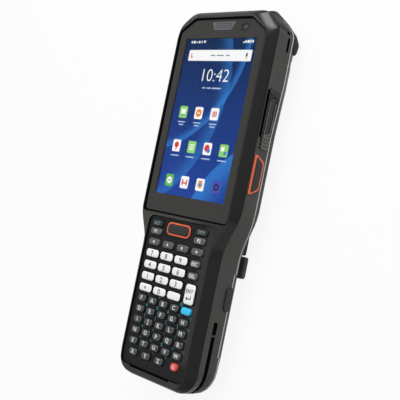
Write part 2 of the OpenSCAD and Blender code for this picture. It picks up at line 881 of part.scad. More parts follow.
module rear_housing() {
    color("#2b2c2b")
        difference() {
            union() {
                difference() {
                    body_solid();
                    above_parting(-air);
                    hollow();
                    bay_region(bay_gap);
                }
                intersection() {
                    hollow(wall - 0.2);
                    union() {
                        difference() {
                            screw_bosses();
                            above_parting(-air);
                        }
                        tray();
                        board_posts();
                    }
                }
                strap_foot();
            }
            screw_holes();
            rear_camera_place() cylinder(r = camera_r + air, h = 6, center = true);
            flash_place() cylinder(r = 1.8 + air, h = 6, center = true);
            for (i = [-2:2])
                translate([0, speaker_y + 2.6 * i, 0])
                    block(rounded(rect(speaker_w - 8, 1.1), 0.5), -1, speaker_z + 1.5);
            translate([-scan_w / 2, head_top - 8, scan_z - scan_h / 2]) cube([scan_w, 10, scan_h]);
            bracket_tongue(air);
        }
}

// Floor between the electronics and the battery, and the two walls that carry it
module tray() {
    w = grip_w - 2 * (wall + latch_lean + latch_foot + latch_travel + 0.5);
    translate([-w / 2, bay_y0 - bay_gap - web_t, tray_z])
        cube([w, battery_cover_len + 2 * (bay_gap + web_t), tray_t]);
    for (y = [bay_y1 + bay_gap, bay_y0 - bay_gap - web_t])
        translate([-w / 2, y, 0])
            cube([w, web_t, tray_z + tray_t]);
}

board_y = screen_y + 4;
board_len = 82;
board_wide = 50;
board_z = z_at(7.4);
board_t = 1.2;
post_r = 2;

module board_posts() {
    for (x = [-1, 1], y = [-1, 1])
        translate([x * (board_wide / 2 - 4), board_y + y * (board_len / 2 - 4), wall / 2])
            cylinder(r = post_r, h = board_z - air - wall / 2);
}

// Foot at the end of the grip, with the slot that holds the strap's end
module strap_foot() {
    slot_w = strap_w + 1;
    slot_h = strap_t + 1;
    difference() {
        translate([0, foot_y, 0])
            block(rounded(rect(strap_w + 7, foot_len), 2), 0, z_at(back_grip) + tail_lift + 1);
        translate([-slot_w / 2, foot_y - foot_len, strap_z - slot_h / 2])
            cube([slot_w, foot_len * 2, slot_h]);
    }
}

module battery_cover() {
    t = wall - 0.4;
    color("#2b2c2b")
        difference() {
            intersection() {
                body_solid();
                translate([-far / 2, bay_y0, -1])
                    cube([far, battery_cover_len, far]);
            }
            above_parting(-air);
            hollow(t);
            latch_openings();
        }
}

battery_z = z_at(back_grip) + wall + 0.3;
battery_w = grip_w - 2 * battery_inset;
battery_t = tray_z - bay_gap - battery_z;
battery_plug = 1.4;   // how far the contacts stand out of the battery pack's upper end
battery_len = battery_cover_len - 2 * (battery_plug + air);
battery_y = (bay_y0 + bay_y1) / 2;

module battery_pack() {
    color("#4b4f55")
        translate([0, battery_y, battery_z])
            union() {
                block(rounded(rect(battery_w, battery_len), 2), 0, battery_t);
                translate([0, battery_len / 2, battery_t / 2])
                    cube([battery_w / 2.5, 2 * battery_plug, battery_t / 2.5], center = true);
            }
}

module main_board() {
    color("#1f5b3a")
        union() {
            translate([0, board_y, 0])
                block(rounded(rect(board_wide, board_len), 2), board_z, board_t);
            translate([board_wide / 2 - 8, port_y - 6, board_z])
                cube([head_w / 2 - port_pocket - 3.5 - board_wide / 2 + 8, 12, board_t]);
            for (p = [[-10, 24, 22, 18], [9, 6, 18, 22], [-10, -20, 20, 24]])
                translate([p.x, board_y + p.y, 0])
                    block(rounded(rect(p[2], p[3]), 0.6), board_z - 1.8, 1.8);
        }
}

module scan_engine() {
    d = 13;
    y1 = head_top - 5.2;
    color("#17191b")
        union() {
            translate([-scan_w / 2 + 2, y1 - d, wall + 0.6])
                cube([scan_w - 4, d - 2, scan_z + scan_h / 2 - wall - 0.6]);
            for (x = [-5.5, 5.5])
                translate([x, y1 - 3, scan_z])
                    rotate([-90, 0, 0])
                        cylinder(r = 2.6, h = 3, $fn = 32);
        }
}

// Rubber hood round the scanner end and the rear corners. Each point of its edge: distance in from the side,
// then distance down from the tip
HOOD_EDGE = [
    [20.6, 0],
    [18.4, 0.5],
    [10.9, 6.2],
    [8.6, 8.1],
    [5, 11.6],
    [2.8, 13.6],
    [0.5, 17.6],
    [0, 19.2],
    [0.6, 23]
];
hood_reach = 22.6;    // how far the hood reaches down the side
hood_notch = 3.4;     // how much lower the hood is in the middle

function hood_ring(x, y1, dz) =
    let (
        right = [for (p = HOOD_EDGE) [x - p.x, y1 - p.y]],
        k = len(right)
    )
    concat(
        [for (p = right) [p.x, p.y, z_at(dz)]],
        [for (i = [k - 1:-1:0]) [-right[i].x, right[i].y, z_at(dz)]]
    );

module top_hood() {
    x = head_w / 2 + 0.1;
    color("#3a3b3b")
        difference() {
            skin([
                hood_ring(x - 8.5, y_top - 5, head_depth - 0.3),
                hood_ring(x - 4.5, y_top - 1.6, head_depth - 2.4),
                hood_ring(x - 0.6, y_top, head_depth - 6),
                hood_ring(x, y_top, head_depth - 8.4),
                hood_ring(x, y_top - 1, part_head + 0.3)
            ]);
            body_solid(-air);
            translate([-far / 2, y_top - hood_reach - far, -1]) cube([far, far, far]);
            block([[14, y_top + 1], [9.6, y_top - hood_notch], [-9.6, y_top - hood_notch], [-14, y_top + 1]],
                -1, far);
            translate([-scan_w / 2, head_top - 4, scan_z - scan_h / 2]) cube([scan_w, 12, scan_h]);
            translate([-scan_w / 2 - 1.6, y_top - 2.2, scan_z - scan_h / 2 - 1])
                cube([scan_w + 3.2, 6, scan_h + 2]);
            translate([-scan_w / 2 - 1, head_top - 0.05, scan_z - scan_h / 2 - 0.8])
                cube([scan_w + 2, window_t + 0.2, scan_h + 1.6]);
        }
}

window_t = 1.2;

module scan_window() {
    color([0.35, 0.05, 0.08, 0.7])
        translate([-scan_w / 2 - 0.9, head_top + 0.05, scan_z - scan_h / 2 - 0.7])
            cube([scan_w + 1.8, window_t, scan_h + 1.4]);
}

module rear_camera() {
    color("#101214")
        rear_camera_place()
            union() {
                translate([0, 0, 0.5]) cylinder(r = camera_r, h = 6);
                translate([-6, -6, 3.2]) cube([12, 12, 4]);
            }
}

module flash_lamp() {
    color("#f4efd8")
        flash_place()
            union() {
                translate([0, 0, 0.4]) cylinder(r = 1.8, h = 2.5);
                translate([0, 0, wall + air]) cylinder(r = 3, h = 1.4);
            }
}

module loudspeaker() {
    color("#3b3d40")
        translate([0, speaker_y, speaker_z])
            union() {
                block(rounded(rect(speaker_w, speaker_len), 2), 0, speaker_t);
                translate([0, 0, speaker_t]) cylinder(r = speaker_len / 3, h = speaker_t / 2);
            }
}

dock_z = z_at(12.4);
dock_w = 18;
dock_h = 2.2;
pad_pitch = 2.2;

module dock_pocket() {
    translate([-dock_w / 2 - 1, y_bot - 1, dock_z - 0.6]) cube([dock_w + 2, 1.8, dock_h + 1.2]);
    translate([-dock_w / 2, y_bot - 1, dock_z]) cube([dock_w, 5, dock_h]);
}

// Contact block at the bottom end, with eight pads for a charging dock
module dock_contacts() {
    color("#c9a640")
        union() {
            translate([air - dock_w / 2, y_bot + 1.1, dock_z + air])
                cube([dock_w - 2 * air, 4, dock_h - 2 * air]);
            for (i = [-3.5:3.5])
                translate([i * pad_pitch - 0.7, y_bot + 0.6, dock_z + 0.4]) cube([1.4, 1, dock_h - 0.8]);
        }
}

module hand_strap() {
    y1 = bracket_y1 - bracket_len - 0.5;
    y0 = y1 - 11.6;
    z0 = strap_z - 1.8;
    color("#1d1e1f")
        union() {
            translate([0, (y1 + y0) / 2, 0])
                block(rounded(rect(bracket_w + 5, y1 - y0), 1.4), z0, 3.4);
            translate([-strap_w / 2, foot_y - foot_len / 2 + 2, strap_z - strap_t / 2])
                cube([strap_w, y0 - foot_y + foot_len / 2 - 1.5, strap_t]);
        }
}

bracket_len = 10;

module bracket_tongue(gap) {
    translate([-8 - gap, bracket_y1 - 1, strap_z - 1.6 - gap]) cube([16 + 2 * gap, 7 + gap, 3 + 2 * gap]);
}

module strap_bracket() {
    color("#222426")
        union() {
            block(rounded(moved(rect(bracket_w, bracket_len), [0, bracket_y1 - bracket_len / 2]), 1.2),
                strap_z - 1.6, 3);
            bracket_tongue(0);
        }
}

module one_screw(shank) {
    difference() {
        union() {
            translate([0, 0, -screw_head_h]) cylinder(r = screw_head_r, h = screw_head_h);
            cylinder(r = screw_r, h = shank);
        }
        translate([0, 0, -screw_head_h - 0.1]) cylinder(r = 0.9, h = 1, $fn = 6);
    }
}

module housing_screws() {
    color("#8b8d90")
        both_sides()
            for (s = SCREWS)
                translate([s.x, s.y, z_at(s.z) + s[3]])
                    one_screw(s.z - s[3] - screw_tip);
}

// Pale seal: a lip in the rebate, which shows as a line, and a bead behind the parting line, in two lengths
module housing_seal() {
    color("#b9b9b5")
        union() {
            difference() {
                intersection() {
                    hollow(wall + fit_gap);
                    above_parting(-1);
                }
                hollow(wall + 0.8);
                above_parting(0.4);
                side_guides(air);
                bay_region(bay_gap + 2 * air);
            }
            difference() {
                intersection() {
                    body_solid(fit_gap);
                    above_parting();
                }
                above_parting(rebate_t - air);
                body_solid(rebate_deep - air);
                side_openings();
            }
        }
}

front_housing();
rear_housing();
touch_glass();
display_panel();
earpiece_grille();
front_camera();
keypad_bezel();
scan_key_ring();
keypad_board();
main_board();
battery_pack();
battery_cover();
right_latch();
left_latch();
right_trigger();
left_trigger();
trigger_rings();
port_cover();
port_hinge();
port_connector();
scan_engine();
scan_window();
top_hood();
rear_camera();
flash_lamp();
loudspeaker();
dock_contacts();
hand_strap();
strap_bracket();
housing_screws();
housing_seal();
for (k = KEYS)
    one_key(k);
for (g = LETTERS)
    letter_keys(g);
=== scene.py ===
import json
from contextlib import contextmanager
from math import cos, hypot, pi, radians, sin

import bmesh
import bpy
from bpy.props import FloatProperty, FloatVectorProperty, PointerProperty
from mathutils import Matrix, Vector

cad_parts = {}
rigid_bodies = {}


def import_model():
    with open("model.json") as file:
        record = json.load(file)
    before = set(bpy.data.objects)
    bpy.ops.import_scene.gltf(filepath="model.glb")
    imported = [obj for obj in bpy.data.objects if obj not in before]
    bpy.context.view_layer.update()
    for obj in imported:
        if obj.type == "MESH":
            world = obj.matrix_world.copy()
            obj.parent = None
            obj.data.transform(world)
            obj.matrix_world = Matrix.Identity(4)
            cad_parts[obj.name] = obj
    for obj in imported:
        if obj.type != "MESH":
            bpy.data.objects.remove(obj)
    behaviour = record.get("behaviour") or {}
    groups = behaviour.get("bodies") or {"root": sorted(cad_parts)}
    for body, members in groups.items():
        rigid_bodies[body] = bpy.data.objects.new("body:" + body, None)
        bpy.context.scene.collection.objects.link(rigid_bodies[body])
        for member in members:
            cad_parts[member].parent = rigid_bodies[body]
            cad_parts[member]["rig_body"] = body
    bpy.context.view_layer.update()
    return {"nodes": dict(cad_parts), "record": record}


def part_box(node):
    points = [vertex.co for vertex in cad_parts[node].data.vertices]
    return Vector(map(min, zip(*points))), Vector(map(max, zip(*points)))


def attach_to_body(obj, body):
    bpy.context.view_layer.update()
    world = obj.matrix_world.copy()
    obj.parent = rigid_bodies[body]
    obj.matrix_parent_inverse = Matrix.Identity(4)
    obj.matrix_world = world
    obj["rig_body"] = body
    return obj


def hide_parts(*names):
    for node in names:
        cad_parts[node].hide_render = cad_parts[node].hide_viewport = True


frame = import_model()

bl_info = {
    "name": "Barcode Data Terminal",
    "version": (1, 0, 0),
    "blender": (4, 5, 0),
    "location": "View3D > Sidebar > Terminal",
    "description": "Dresses the solids of a handheld barcode terminal in its real finishes",
    "category": "Object",
}

MM = 0.001


def box_of(node):
    """Lowest and highest corner, in mm, of a node's solids."""
    low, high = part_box(node)
    return low / MM, high / MM


GLASS_LOW, GLASS_HIGH = box_of("touch_glass")
SIDE_X = box_of("front_housing")[1].x  # where the right side of the head lies


# ---- Colours and settings ----
def linear(hex_colour):
    """An sRGB hex colour as linear red, green and blue."""
    channels = [int(hex_colour[i:i + 2], 16) / 255 for i in (1, 3, 5)]
    return tuple(c / 12.92 if c <= 0.04045 else ((c + 0.055) / 1.055) ** 2.4 for c in channels)


def colour(name, description, hex_colour):
    return FloatVectorProperty(
        name=name, description=description, subtype="COLOR", size=3, min=0, max=1, default=linear(hex_colour)
    )


def length(name, description, default_mm):
    return FloatProperty(name=name, description=description, unit="LENGTH", default=default_mm * MM, min=0)


class TerminalColours(bpy.types.PropertyGroup):
    # The bevel's near black, against the greyer front and sides of the same plastic, is painted shade
    bevel_black: colour("Bevel", "Bevel and rim of the housing", "#161615")
    front_black: colour("Front", "Flat front of the housing", "#41413e")
    side_olive: colour("Sides", "Side walls of the housing", "#343330")
    button_black: colour("Buttons", "Triggers and latches", "#2c2c2b")
    # The seal's pale grey is a painted highlight along the parting line
    seal_grey: colour("Seal", "Seal that shows between the halves of the housing", "#bdbebb")
    rubber: colour("Rubber", "Hood and port cover", "#292a2a")
    bezel: colour("Keypad", "Bezel between the keys", "#1a1a1a")
    ink: colour("Glass border", "Print behind the edge of the touch glass", "#3b3a38")
    orange: colour("Orange", "Rings round the scan key and the triggers", "#e66a45")
    key_white: colour("White keys", "Digit keys and enter key", "#fafaf8")
    key_grey: colour("Grey keys", "Arrow, P, escape and delete keys", "#484a4c")
    key_dark: colour("Dark keys", "Letter, soft and scan keys", "#2e3032")
    key_blue: colour("Blue key", "Function key", "#3bc9fd")
    key_red: colour("Red key", "Power key", "#de524d")
    print_white: colour("White print", "Legends on dark keys", "#e9eaea")
    print_dark: colour("Dark print", "Legends on white keys", "#303234")
    print_teal: colour("Teal print", "Second legends beside the keys", "#3a96aa")
    print_soft: colour("Pale teal print", "Legends of the soft keys", "#7c989d")
    sky_top: colour("Picture, top", "Upper end of the picture on the display", "#0b2750")
    sky_end: colour("Picture, bottom", "Lower end of the picture on the display", "#1c4198")
    sky_glow: colour("Picture, glow", "Bands of light across the picture", "#3c93ea")
    webbing: colour("Webbing", "Hand strap", "#333436")


class TerminalSizes(bpy.types.PropertyGroup):
    edge: length("Edge", "Radius of the moulded edges", 0.3)
    small_edge: length("Small edge", "Radius of the edges of buttons and trim", 0.15)
    digit: length("Digit height", "Height of the digits on the white keys", 2.6)
    letter: length("Letter height", "Height of the letters on the dark keys", 2.1)
    print_t: length("Print", "Thickness of a printed or lit layer", 0.02)


class TerminalStage(bpy.types.PropertyGroup):
    lens: FloatProperty(name="Lens", description="Focal length of the camera in mm", default=72.11, min=1)
    world: FloatProperty(name="World", description="Strength of the light all round", default=0.32, min=0)
    key_light: FloatProperty(name="Key light", description="Power of the light above", default=7.0, min=0)
    side_light: FloatProperty(name="Side light", description="Power of the light beside", default=3.6, min=0)


def colours():
    return bpy.context.scene.terminal_colours


def sizes():
    return bpy.context.scene.terminal_sizes


# ---- Materials ----
def add_node(tree, kind, settings=(), **links):
    """Adds a shader node, sets its properties or its input values, and links its inputs to sockets.

    Settings starting with a small letter are properties, others are inputs. A link is named for its input, or
    with an underscore and the input's number.
    """
    node = tree.nodes.new("ShaderNode" + kind)
    for name, value in dict(settings).items():
        if isinstance(name, int) or not name[0].islower():
            node.inputs[name].default_value = value
        else:
            setattr(node, name, value)
    for name, socket in links.items():
        key = int(name[1:]) if name[1:].isdigit() else name.replace("_", " ")
        tree.links.new(socket, node.inputs[key])
    return node


WAVE = 0.314  # scale of a wave texture whose bands are 1 apart


def start_material(name, base, rough, **inputs):
    """A node material with a plain shader. Returns the material, its tree and the shader."""
    material = bpy.data.materials.new(name)
    material.use_nodes = True
    tree = material.node_tree
    shader = tree.nodes["Principled BSDF"]
    shader.inputs["Base Color"].default_value = (*base, 1)
    material.diffuse_color = (*base, 1)
    shader.inputs["Roughness"].default_value = rough
    for key, value in inputs.items():
        shader.inputs[key.replace("_", " ")].default_value = value
    return material, tree, shader


def place_on(tree):
    """The place on the object, in metres, as a socket."""
    return add_node(tree, "TexCoord").outputs["Object"]


def shade_between(tree, low, high, share):
    """A colour between two, as a socket. The first may be a socket too."""
    settings, links = {"data_type": "RGBA", 7: (*high, 1)}, {"_0": share}
    if isinstance(low, bpy.types.NodeSocket):
        links["_6"] = low
    else:
        settings[6] = (*low, 1)
    return add_node(tree, "Mix", settings, **links).outputs[2]


def combined(tree, operation, a, b):
    """The result of an operation on two sockets, as a socket."""
    return add_node(tree, "Math", {"operation": operation}, _0=a, _1=b).outputs[0]


def stepped(tree, distance, start, full, strength=1.0):
    """A smooth rise from 0 to a strength between two distances in mm, as a socket."""
    settings = {"interpolation_type": "SMOOTHSTEP", 1: start * MM, 2: full * MM, 4: strength}
    return add_node(tree, "MapRange", settings, _0=distance).outputs[0]


def raise_surface(tree, shader, height, depth_mm):
    """Bumps the surface by a height socket. Returns the node."""
    bump = add_node(tree, "Bump", {"Strength": 1.0, "Distance": depth_mm * MM}, Height=height)
    tree.links.new(bump.outputs["Normal"], shader.inputs["Normal"])
    return bump


def grain(tree, shader, size_mm, height_mm, detail=3.0, mottle=None, edge=None):
    """Moulded or cast grain: a bump of the given size and height, and a change of shade with mottle."""
    noise = add_node(
        tree, "TexNoise", {"Scale": 1 / (size_mm * MM), "Detail": detail}, Vector=place_on(tree)
    ).outputs["Fac"]
    bump = raise_surface(tree, shader, noise, height_mm)
    if edge:
        rounding = add_node(tree, "Bevel", {"samples": 6, "Radius": edge})
        tree.links.new(rounding.outputs["Normal"], bump.inputs["Normal"])
    if mottle:
        base = shader.inputs["Base Color"].default_value[:3]
        low, high = [c * (1 - mottle) for c in base], [min(1, c * (1 + mottle)) for c in base]
        tree.links.new(shade_between(tree, low, high, noise), shader.inputs["Base Color"])


def surface(name, base, rough, size_mm, height_mm, detail=3.0, mottle=None, edge=None, **inputs):
    """A material of one colour with grain."""
    material, tree, shader = start_material(name, base, rough, **inputs)
    grain(tree, shader, size_mm, height_mm, detail, mottle, edge)
    return material


def moulded_plastic(
    name, base, rough, specular=0.2, size_mm=0.6, height_mm=0.012, mottle=0.06, edge=None
):
    """Injection-moulded plastic: a fine spark-eroded grain that spreads the highlights."""
    return surface(
        name, base, rough, size_mm, height_mm, mottle=mottle, edge=edge, IOR=1.5, Specular_IOR_Level=specular
    )


def patch(material, shade, *ranges):
    """Mixes another shade into the part of a surface that lies beyond every range.

    A range is a direction and the distances along it, in mm from the origin, where the shade starts and is
    full. Returns the share of the shade as a socket.
    """
    tree = material.node_tree
    base = tree.nodes["Principled BSDF"].inputs["Base Color"]
    place = place_on(tree)
    share = None
    for direction, start, full in ranges:
        along = add_node(tree, "VectorMath", {"operation": "DOT_PRODUCT", 1: direction}, _0=place)
        step = stepped(tree, along.outputs["Value"], start, full)
        share = combined(tree, "MULTIPLY", share, step) if share else step
    tree.links.new(shade_between(tree, base.links[0].from_socket, shade, share), base)
    return share


class Finishes:
    """Makes each material once, when a piece first asks for it."""

    # What moulded_plastic makes: name, colour as a setting or in hex, roughness, specular level, other values
    MOULDED = {
        # Glass-filled ABS from a smoother mould, on the bevels: near black as painted shade, with a soft
        # sheen along them
        "abs_black": ("moulded ABS, black", "bevel_black", 0.5, 0.15, {"edge": "edge"}),
        # The same plastic, spark-eroded on the flat front: greyer than the bevels, whose darker shade is
        # painted
        "abs_front": ("moulded ABS, dull black front", "front_black", 0.6, 0.15, {"edge": "edge"}),
        # The same plastic on the side walls, with more shine: greyer than the bevels, whose darker shade is
        # painted
        "abs_olive": ("moulded ABS, grey side", "side_olive", 0.5, 0.45, {"edge": "edge"}),
        # The same plastic in grooves and pockets, near black as painted shade, since little light gets in
        "recess": ("moulded ABS, groove", "#050505", 0.7, 0.05),
        # Moulded seal between the halves: its pale colour is a painted highlight, drawing a light line round
        # the side
        "seal": ("moulded seal, pale elastomer", "seal_grey", 0.6, 0.2),
        # Elastomer of the port cover: dull, smoother than the hood
        "flap": ("port cover, dark elastomer", "#383936", 0.6, 0.2),
        # The same elastomer on the ridge and ribs: paler as painted highlight, with a sheen
        "flap_ridge": ("port cover, polished ridge", "#5c5d59", 0.4, 0.3),
        # Matt ABS between the keys: the darkest flat surface, so that the caps stand out
        "bezel": ("keypad bezel, matt ABS", "bezel", 0.55, 0.12, {"edge": "small_edge"}),
        # Satin ABS of triggers and latches: a soft highlight
        "button": ("button, satin ABS", "button_black", 0.42, 0.25),
        # ABS dyed right through: bright and even
        "orange": ("trim, dyed ABS", "orange", 0.38, 0.4, {"mottle": 0.03}),
        # Polycarbonate caps from polished moulds: clean colours, the darker ones with sharp small highlights
        "key_white": ("key cap, white polycarbonate", "key_white", 0.36, 0.4, {"mottle": 0.015}),
        "key_grey": ("key cap, grey polycarbonate", "key_grey", 0.26, 0.6, {"mottle": 0.03}),
        "key_dark": ("key cap, dark polycarbonate", "key_dark", 0.26, 0.6, {"mottle": 0.03}),
        "key_black": ("key cap, black polycarbonate", "button_black", 0.4, 0.2, {"mottle": 0.03}),
        "key_blue": ("key cap, blue polycarbonate", "key_blue", 0.36, 0.4, {"mottle": 0.03}),
        "key_red": ("key cap, red polycarbonate", "key_red", 0.36, 0.4, {"mottle": 0.03}),
        # Pad-printed ink: flat colour with a low shine
        "print_white": ("pad print, white", "print_white", 0.45, 0.3, {"mottle": 0.02}),
        "print_dark": ("pad print, dark grey", "print_dark", 0.45, 0.3, {"mottle": 0.02}),
        "print_teal": ("pad print, teal", "print_teal", 0.45, 0.3, {"mottle": 0.02}),
        "print_soft": ("pad print, pale teal", "print_soft", 0.45, 0.3, {"mottle": 0.02}),
        # Cover glass with ink printed on its inner face: flat and even, with a low coated shine
        "glass_ink": (
            "printed cover glass", "ink", 0.12, 0.12, {"size_mm": 8, "height_mm": 0.0, "mottle": 0.03}
        ),
        # Black film round the display and the front camera: hides their edges
        "panel_black": ("display frame, black film", "#060708", 0.4, 0.3),
        # Green solder mask over a glass-fibre weave: glossy and slightly blotched
        "board": ("solder mask on glass fibre", "#1c5a38", 0.35, 0.5, {"size_mm": 0.8, "mottle": 0.15}),
        # Shrunk film round the cells: grey, softly wrinkled
        "battery": ("battery wrap, grey film", "#4b4f55", 0.4, 0.4, {"size_mm": 2}),
        # Black ABS of small modules: plain, with a satin shine
        "engine": ("scan engine, black ABS", "#17191b", 0.4, 0.4),
    }
    # Painted light and shade over a part of these: colour, then the ranges that patch takes
    PATCHES = {
        "abs_black": [("#2c2c2b", ((0, -1, 0), 10, 15), ((0, 1, 0), -29, -24))],  # painted highlight on the bevel at the shoulders
        "abs_front": [
            ("#272726", ((0, -1, 0), 8, 14), ((1, 0, 0), 5, 20)),  # painted shade on the flat front right of the keypad, below the shoulder
            ("#353532", ((0, -1, 0), 90, 95)),  # painted shade at the end of the grip
        ],
        "abs_olive": [("#252522", ((0, -1, 0), 85, 95))],  # painted shade round the end of the grip
        "bezel": [("#343434", ((1, 0, 0), 17.2, 18.6), ((0, 1, 0), -91, -84))],  # painted highlight along the right edge of the keypad, fading at its lower end
    }

    def __init__(self):
        self.made = {}

    def __getattr__(self, name):
        if name not in self.made:
            self.made[name] = self.moulded(name) if name in self.MOULDED else getattr(self, "make_" + name)()
        return self.made[name]

    def moulded(self, name):
        title, base, rough, specular, *rest = self.MOULDED[name]
        base = linear(base) if base.startswith("#") else getattr(colours(), base)
        other = dict(*rest)
        if "edge" in other:
            other["edge"] = getattr(sizes(), other["edge"])
        material = moulded_plastic(title, base, rough, specular, **other)
        for shade, *ranges in self.PATCHES.get(name, ()):
            patch(material, linear(shade), *ranges)
        return material

    # The housing's plastic on the bevel at the head's right corner: a paler band of painted highlight near
    # its outer edge, which also shines more
    def make_worn(self):
        black, edge = colours().bevel_black, sizes().edge
        material = moulded_plastic("moulded ABS, rubbed corner", black, 0.45, edge=edge)
        ranges = ((1, 1, 0), 117.8, 121), ((-1, -1, 0), -124.8, -122.8), ((0, 1, 0), 85.5, 90)
        highlight_share = patch(material, linear("#666664"), *ranges)
        tree = material.node_tree
        shine = add_node(tree, "MapRange", {3: 0.15, 4: 0.5}, _0=highlight_share).outputs[0]
        tree.links.new(shine, tree.nodes["Principled BSDF"].inputs["Specular IOR Level"])
        return material

    # Overmoulded elastomer: coarse grain with pale specks, hardly any shine
    def make_rubber(self):
        return surface(
            "overmoulded rubber", colours().rubber, 0.72, 0.9, 0.05, 4, 0.25, sizes().edge, IOR=1.5,
            Specular_IOR_Level=0.2
        )

    # Clear, anti-reflection coated part of the cover glass
    def make_glass_clear(self):
        return surface(
            "coated cover glass", (1, 1, 1), 0.02, 20, 0.0002, 0, IOR=1.12, Transmission_Weight=1.0
        )

    # Lit display: a dark to royal blue picture with soft sweeping bands of light
    def make_picture(self):
        material, tree, shader = start_material("lit display picture", (0, 0, 0), 0.4, Specular_IOR_Level=0.0)
        (_, y0, z), (_, y1, _) = PICTURE
        place = place_on(tree)
        y = add_node(tree, "SeparateXYZ", _0=place).outputs["Y"]
        up = add_node(tree, "MapRange", {1: y0, 2: y1}, _0=y).outputs[0]
        sky = shade_between(tree, colours().sky_end, colours().sky_top, up)
        # Each band: centre from the picture's middle, radius and width of the fade in mm, and strength
        bands = ((-44, 46, 66, 5, 0.45), (-62, 18, 74, 10, 0.3), (58, -70, 62, 18, 0.5))
        for cx, cy, radius, fade, strength in bands:
            centre = (cx * MM, (y0 + y1) / 2 + cy * MM, z)
            reach = add_node(tree, "VectorMath", {"operation": "DISTANCE", 1: centre}, _0=place)
            reach = reach.outputs["Value"]
            inside = stepped(tree, reach, radius - fade, radius, strength)
            cut = add_node(tree, "MapRange", {1: radius * MM, 2: (radius + 0.7) * MM, 3: 1, 4: 0}, _0=reach)
            glow = combined(tree, "MULTIPLY", inside, cut.outputs[0])
            sky = shade_between(tree, sky, colours().sky_glow, glow)
        tree.links.new(sky, shader.inputs["Emission Color"])
        shader.inputs["Emission Strength"].default_value = 1.0
        return material

    # Perforated steel behind the earpiece opening, painted a dull grey
    def make_grille(self):
        return surface("painted steel mesh", linear("#565b60"), 0.45, 0.5, 0.01, mottle=0.05)

    # Coated lens of a camera: black and wet-looking
    def make_lens(self):
        return surface("coated lens", linear("#0c0e12"), 0.08, 3, 0.0005, 0, IOR=1.5, Specular_IOR_Level=0.2)

    # Coated lens of the front camera: its paler colour is a painted reflection of the coating
    def make_pale_lens(self):
        return surface("coated lens, bright", linear("#3a3d41"), 0.1, 3, 0.0005, 0, IOR=1.5)

    # Tinted window in front of the scan engine: dark red, smooth
    def make_scan_window(self):
        return surface("dyed acrylic window", linear("#3a0c12"), 0.05, 4, 0.001, 0, 0.1, IOR=1.49)

    # Diffuser of the flash lamp: moulded lines in a milky white
    def make_lamp(self):
        material, tree, shader = start_material("lamp diffuser", linear("#f3efdc"), 0.25, IOR=1.49)
        settings = {"wave_type": "BANDS", "Scale": WAVE / (0.5 * MM)}
        rings = add_node(tree, "TexWave", settings, Vector=place_on(tree)).outputs["Fac"]
        raise_surface(tree, shader, rings, 0.05)
        return material

    # Drawn stainless steel shell of the socket: fine lines along its depth
    def make_steel(self):
        material, tree, shader = start_material("drawn stainless steel", linear("#b9bcc0"), 0.3, Metallic=1.0)
        along = add_node(tree, "Mapping", {"Scale": (400, 6000, 6000)}, Vector=place_on(tree)).outputs[0]
        lines = add_node(tree, "TexNoise", {"Scale": 1.0, "Detail": 2.0}, Vector=along).outputs["Fac"]
        raise_surface(tree, shader, lines, 0.01)
        return material

    # Zinc-plated screw steel: grey, with a soft shine
    def make_screw(self):
        return surface("zinc-plated steel", linear("#8b8d90"), 0.35, 0.4, 0.01, Metallic=1.0)

    # Gold flash on copper contacts: warm and bright
    def make_gold(self):
        return surface("gold-flashed copper", linear("#d0a040"), 0.25, 0.5, 0.004, Metallic=1.0)

    # Woven nylon: 0.9 mm ribs across the band, drawn a little coarser than the real thread so that they show
    def make_webbing(self):
        base = colours().webbing
        material, tree, shader = start_material("woven nylon webbing", base, 0.8, Sheen_Weight=0.3)
        place, waves = place_on(tree), []
        for axis, pitch in (("Y", 0.9), ("X", 1.2)):
            settings = {"wave_type": "BANDS", "bands_direction": axis, "Scale": WAVE / (pitch * MM)}
            wave = add_node(tree, "TexWave", {**settings, "Distortion": 0.6}, Vector=place)
            waves.append(wave.outputs["Fac"])
        weave = combined(tree, "MULTIPLY", *waves)
        raise_surface(tree, shader, weave, 0.25)
        low, high = [c * 0.55 for c in base], [c * 1.6 for c in base]
        tree.links.new(shade_between(tree, low, high, weave), shader.inputs["Base Color"])
        return material

    # Closed-cell foam pad covered in knitted polyester: dull, with a soft uneven surface
    def make_pad(self):
        return surface("knitted polyester", colours().webbing, 0.85, 0.7, 0.12, 2, 0.3, Sheen_Weight=0.3)


finishes = Finishes()


def lit(name, hex_colour):
    """A colour shown by the display."""
    key = "lit " + name
    if key not in finishes.made:
        material, tree, shader = start_material(key, (0, 0, 0), 0.4, Specular_IOR_Level=0.0)
        # Slight unevenness of the backlight
        noise = add_node(tree, "TexNoise", {"Scale": 1 / (6 * MM)}, Vector=place_on(tree)).outputs["Fac"]
        base = linear(hex_colour)
        dim = [c * 0.93 for c in base]
        tree.links.new(shade_between(tree, dim, base, noise), shader.inputs["Emission Color"])
        shader.inputs["Emission Strength"].default_value = 1.0
        finishes.made[key] = material
    return finishes.made[key]


# ---- Meshes ----
def solid(node):
    return frame["nodes"][node].data


def corners_of(node):
    """Every vertex of a node's solids, in mm."""
    return [v.co / MM for v in solid(node).vertices]


def put_in_scene(name, data):
    thing = bpy.data.objects.new(name, data)
    bpy.context.scene.collection.objects.link(thing)
    return thing


@contextmanager
def opened(mesh):
    """A mesh open for editing, written back at the end."""
    bm = bmesh.new()
    bm.from_mesh(mesh)
    yield bm
    bm.to_mesh(mesh)
    bm.free()


WELD = 0.002 * MM  # vertices closer than this are the same corner
FLAT = 1.5         # degrees; faces that meet at less than this are one flat face
ROUNDED = 32       # degrees; edges between faces that turn by more than this are rounded
SHARP = 35         # degrees; faces that turn by more than this are shaded with an edge between them


def circle(r, n):
    """Points of a circle, anticlockwise, in mm round its middle."""
    return [(r * cos(2 * pi * i / n), r * sin(2 * pi * i / n)) for i in range(n)]


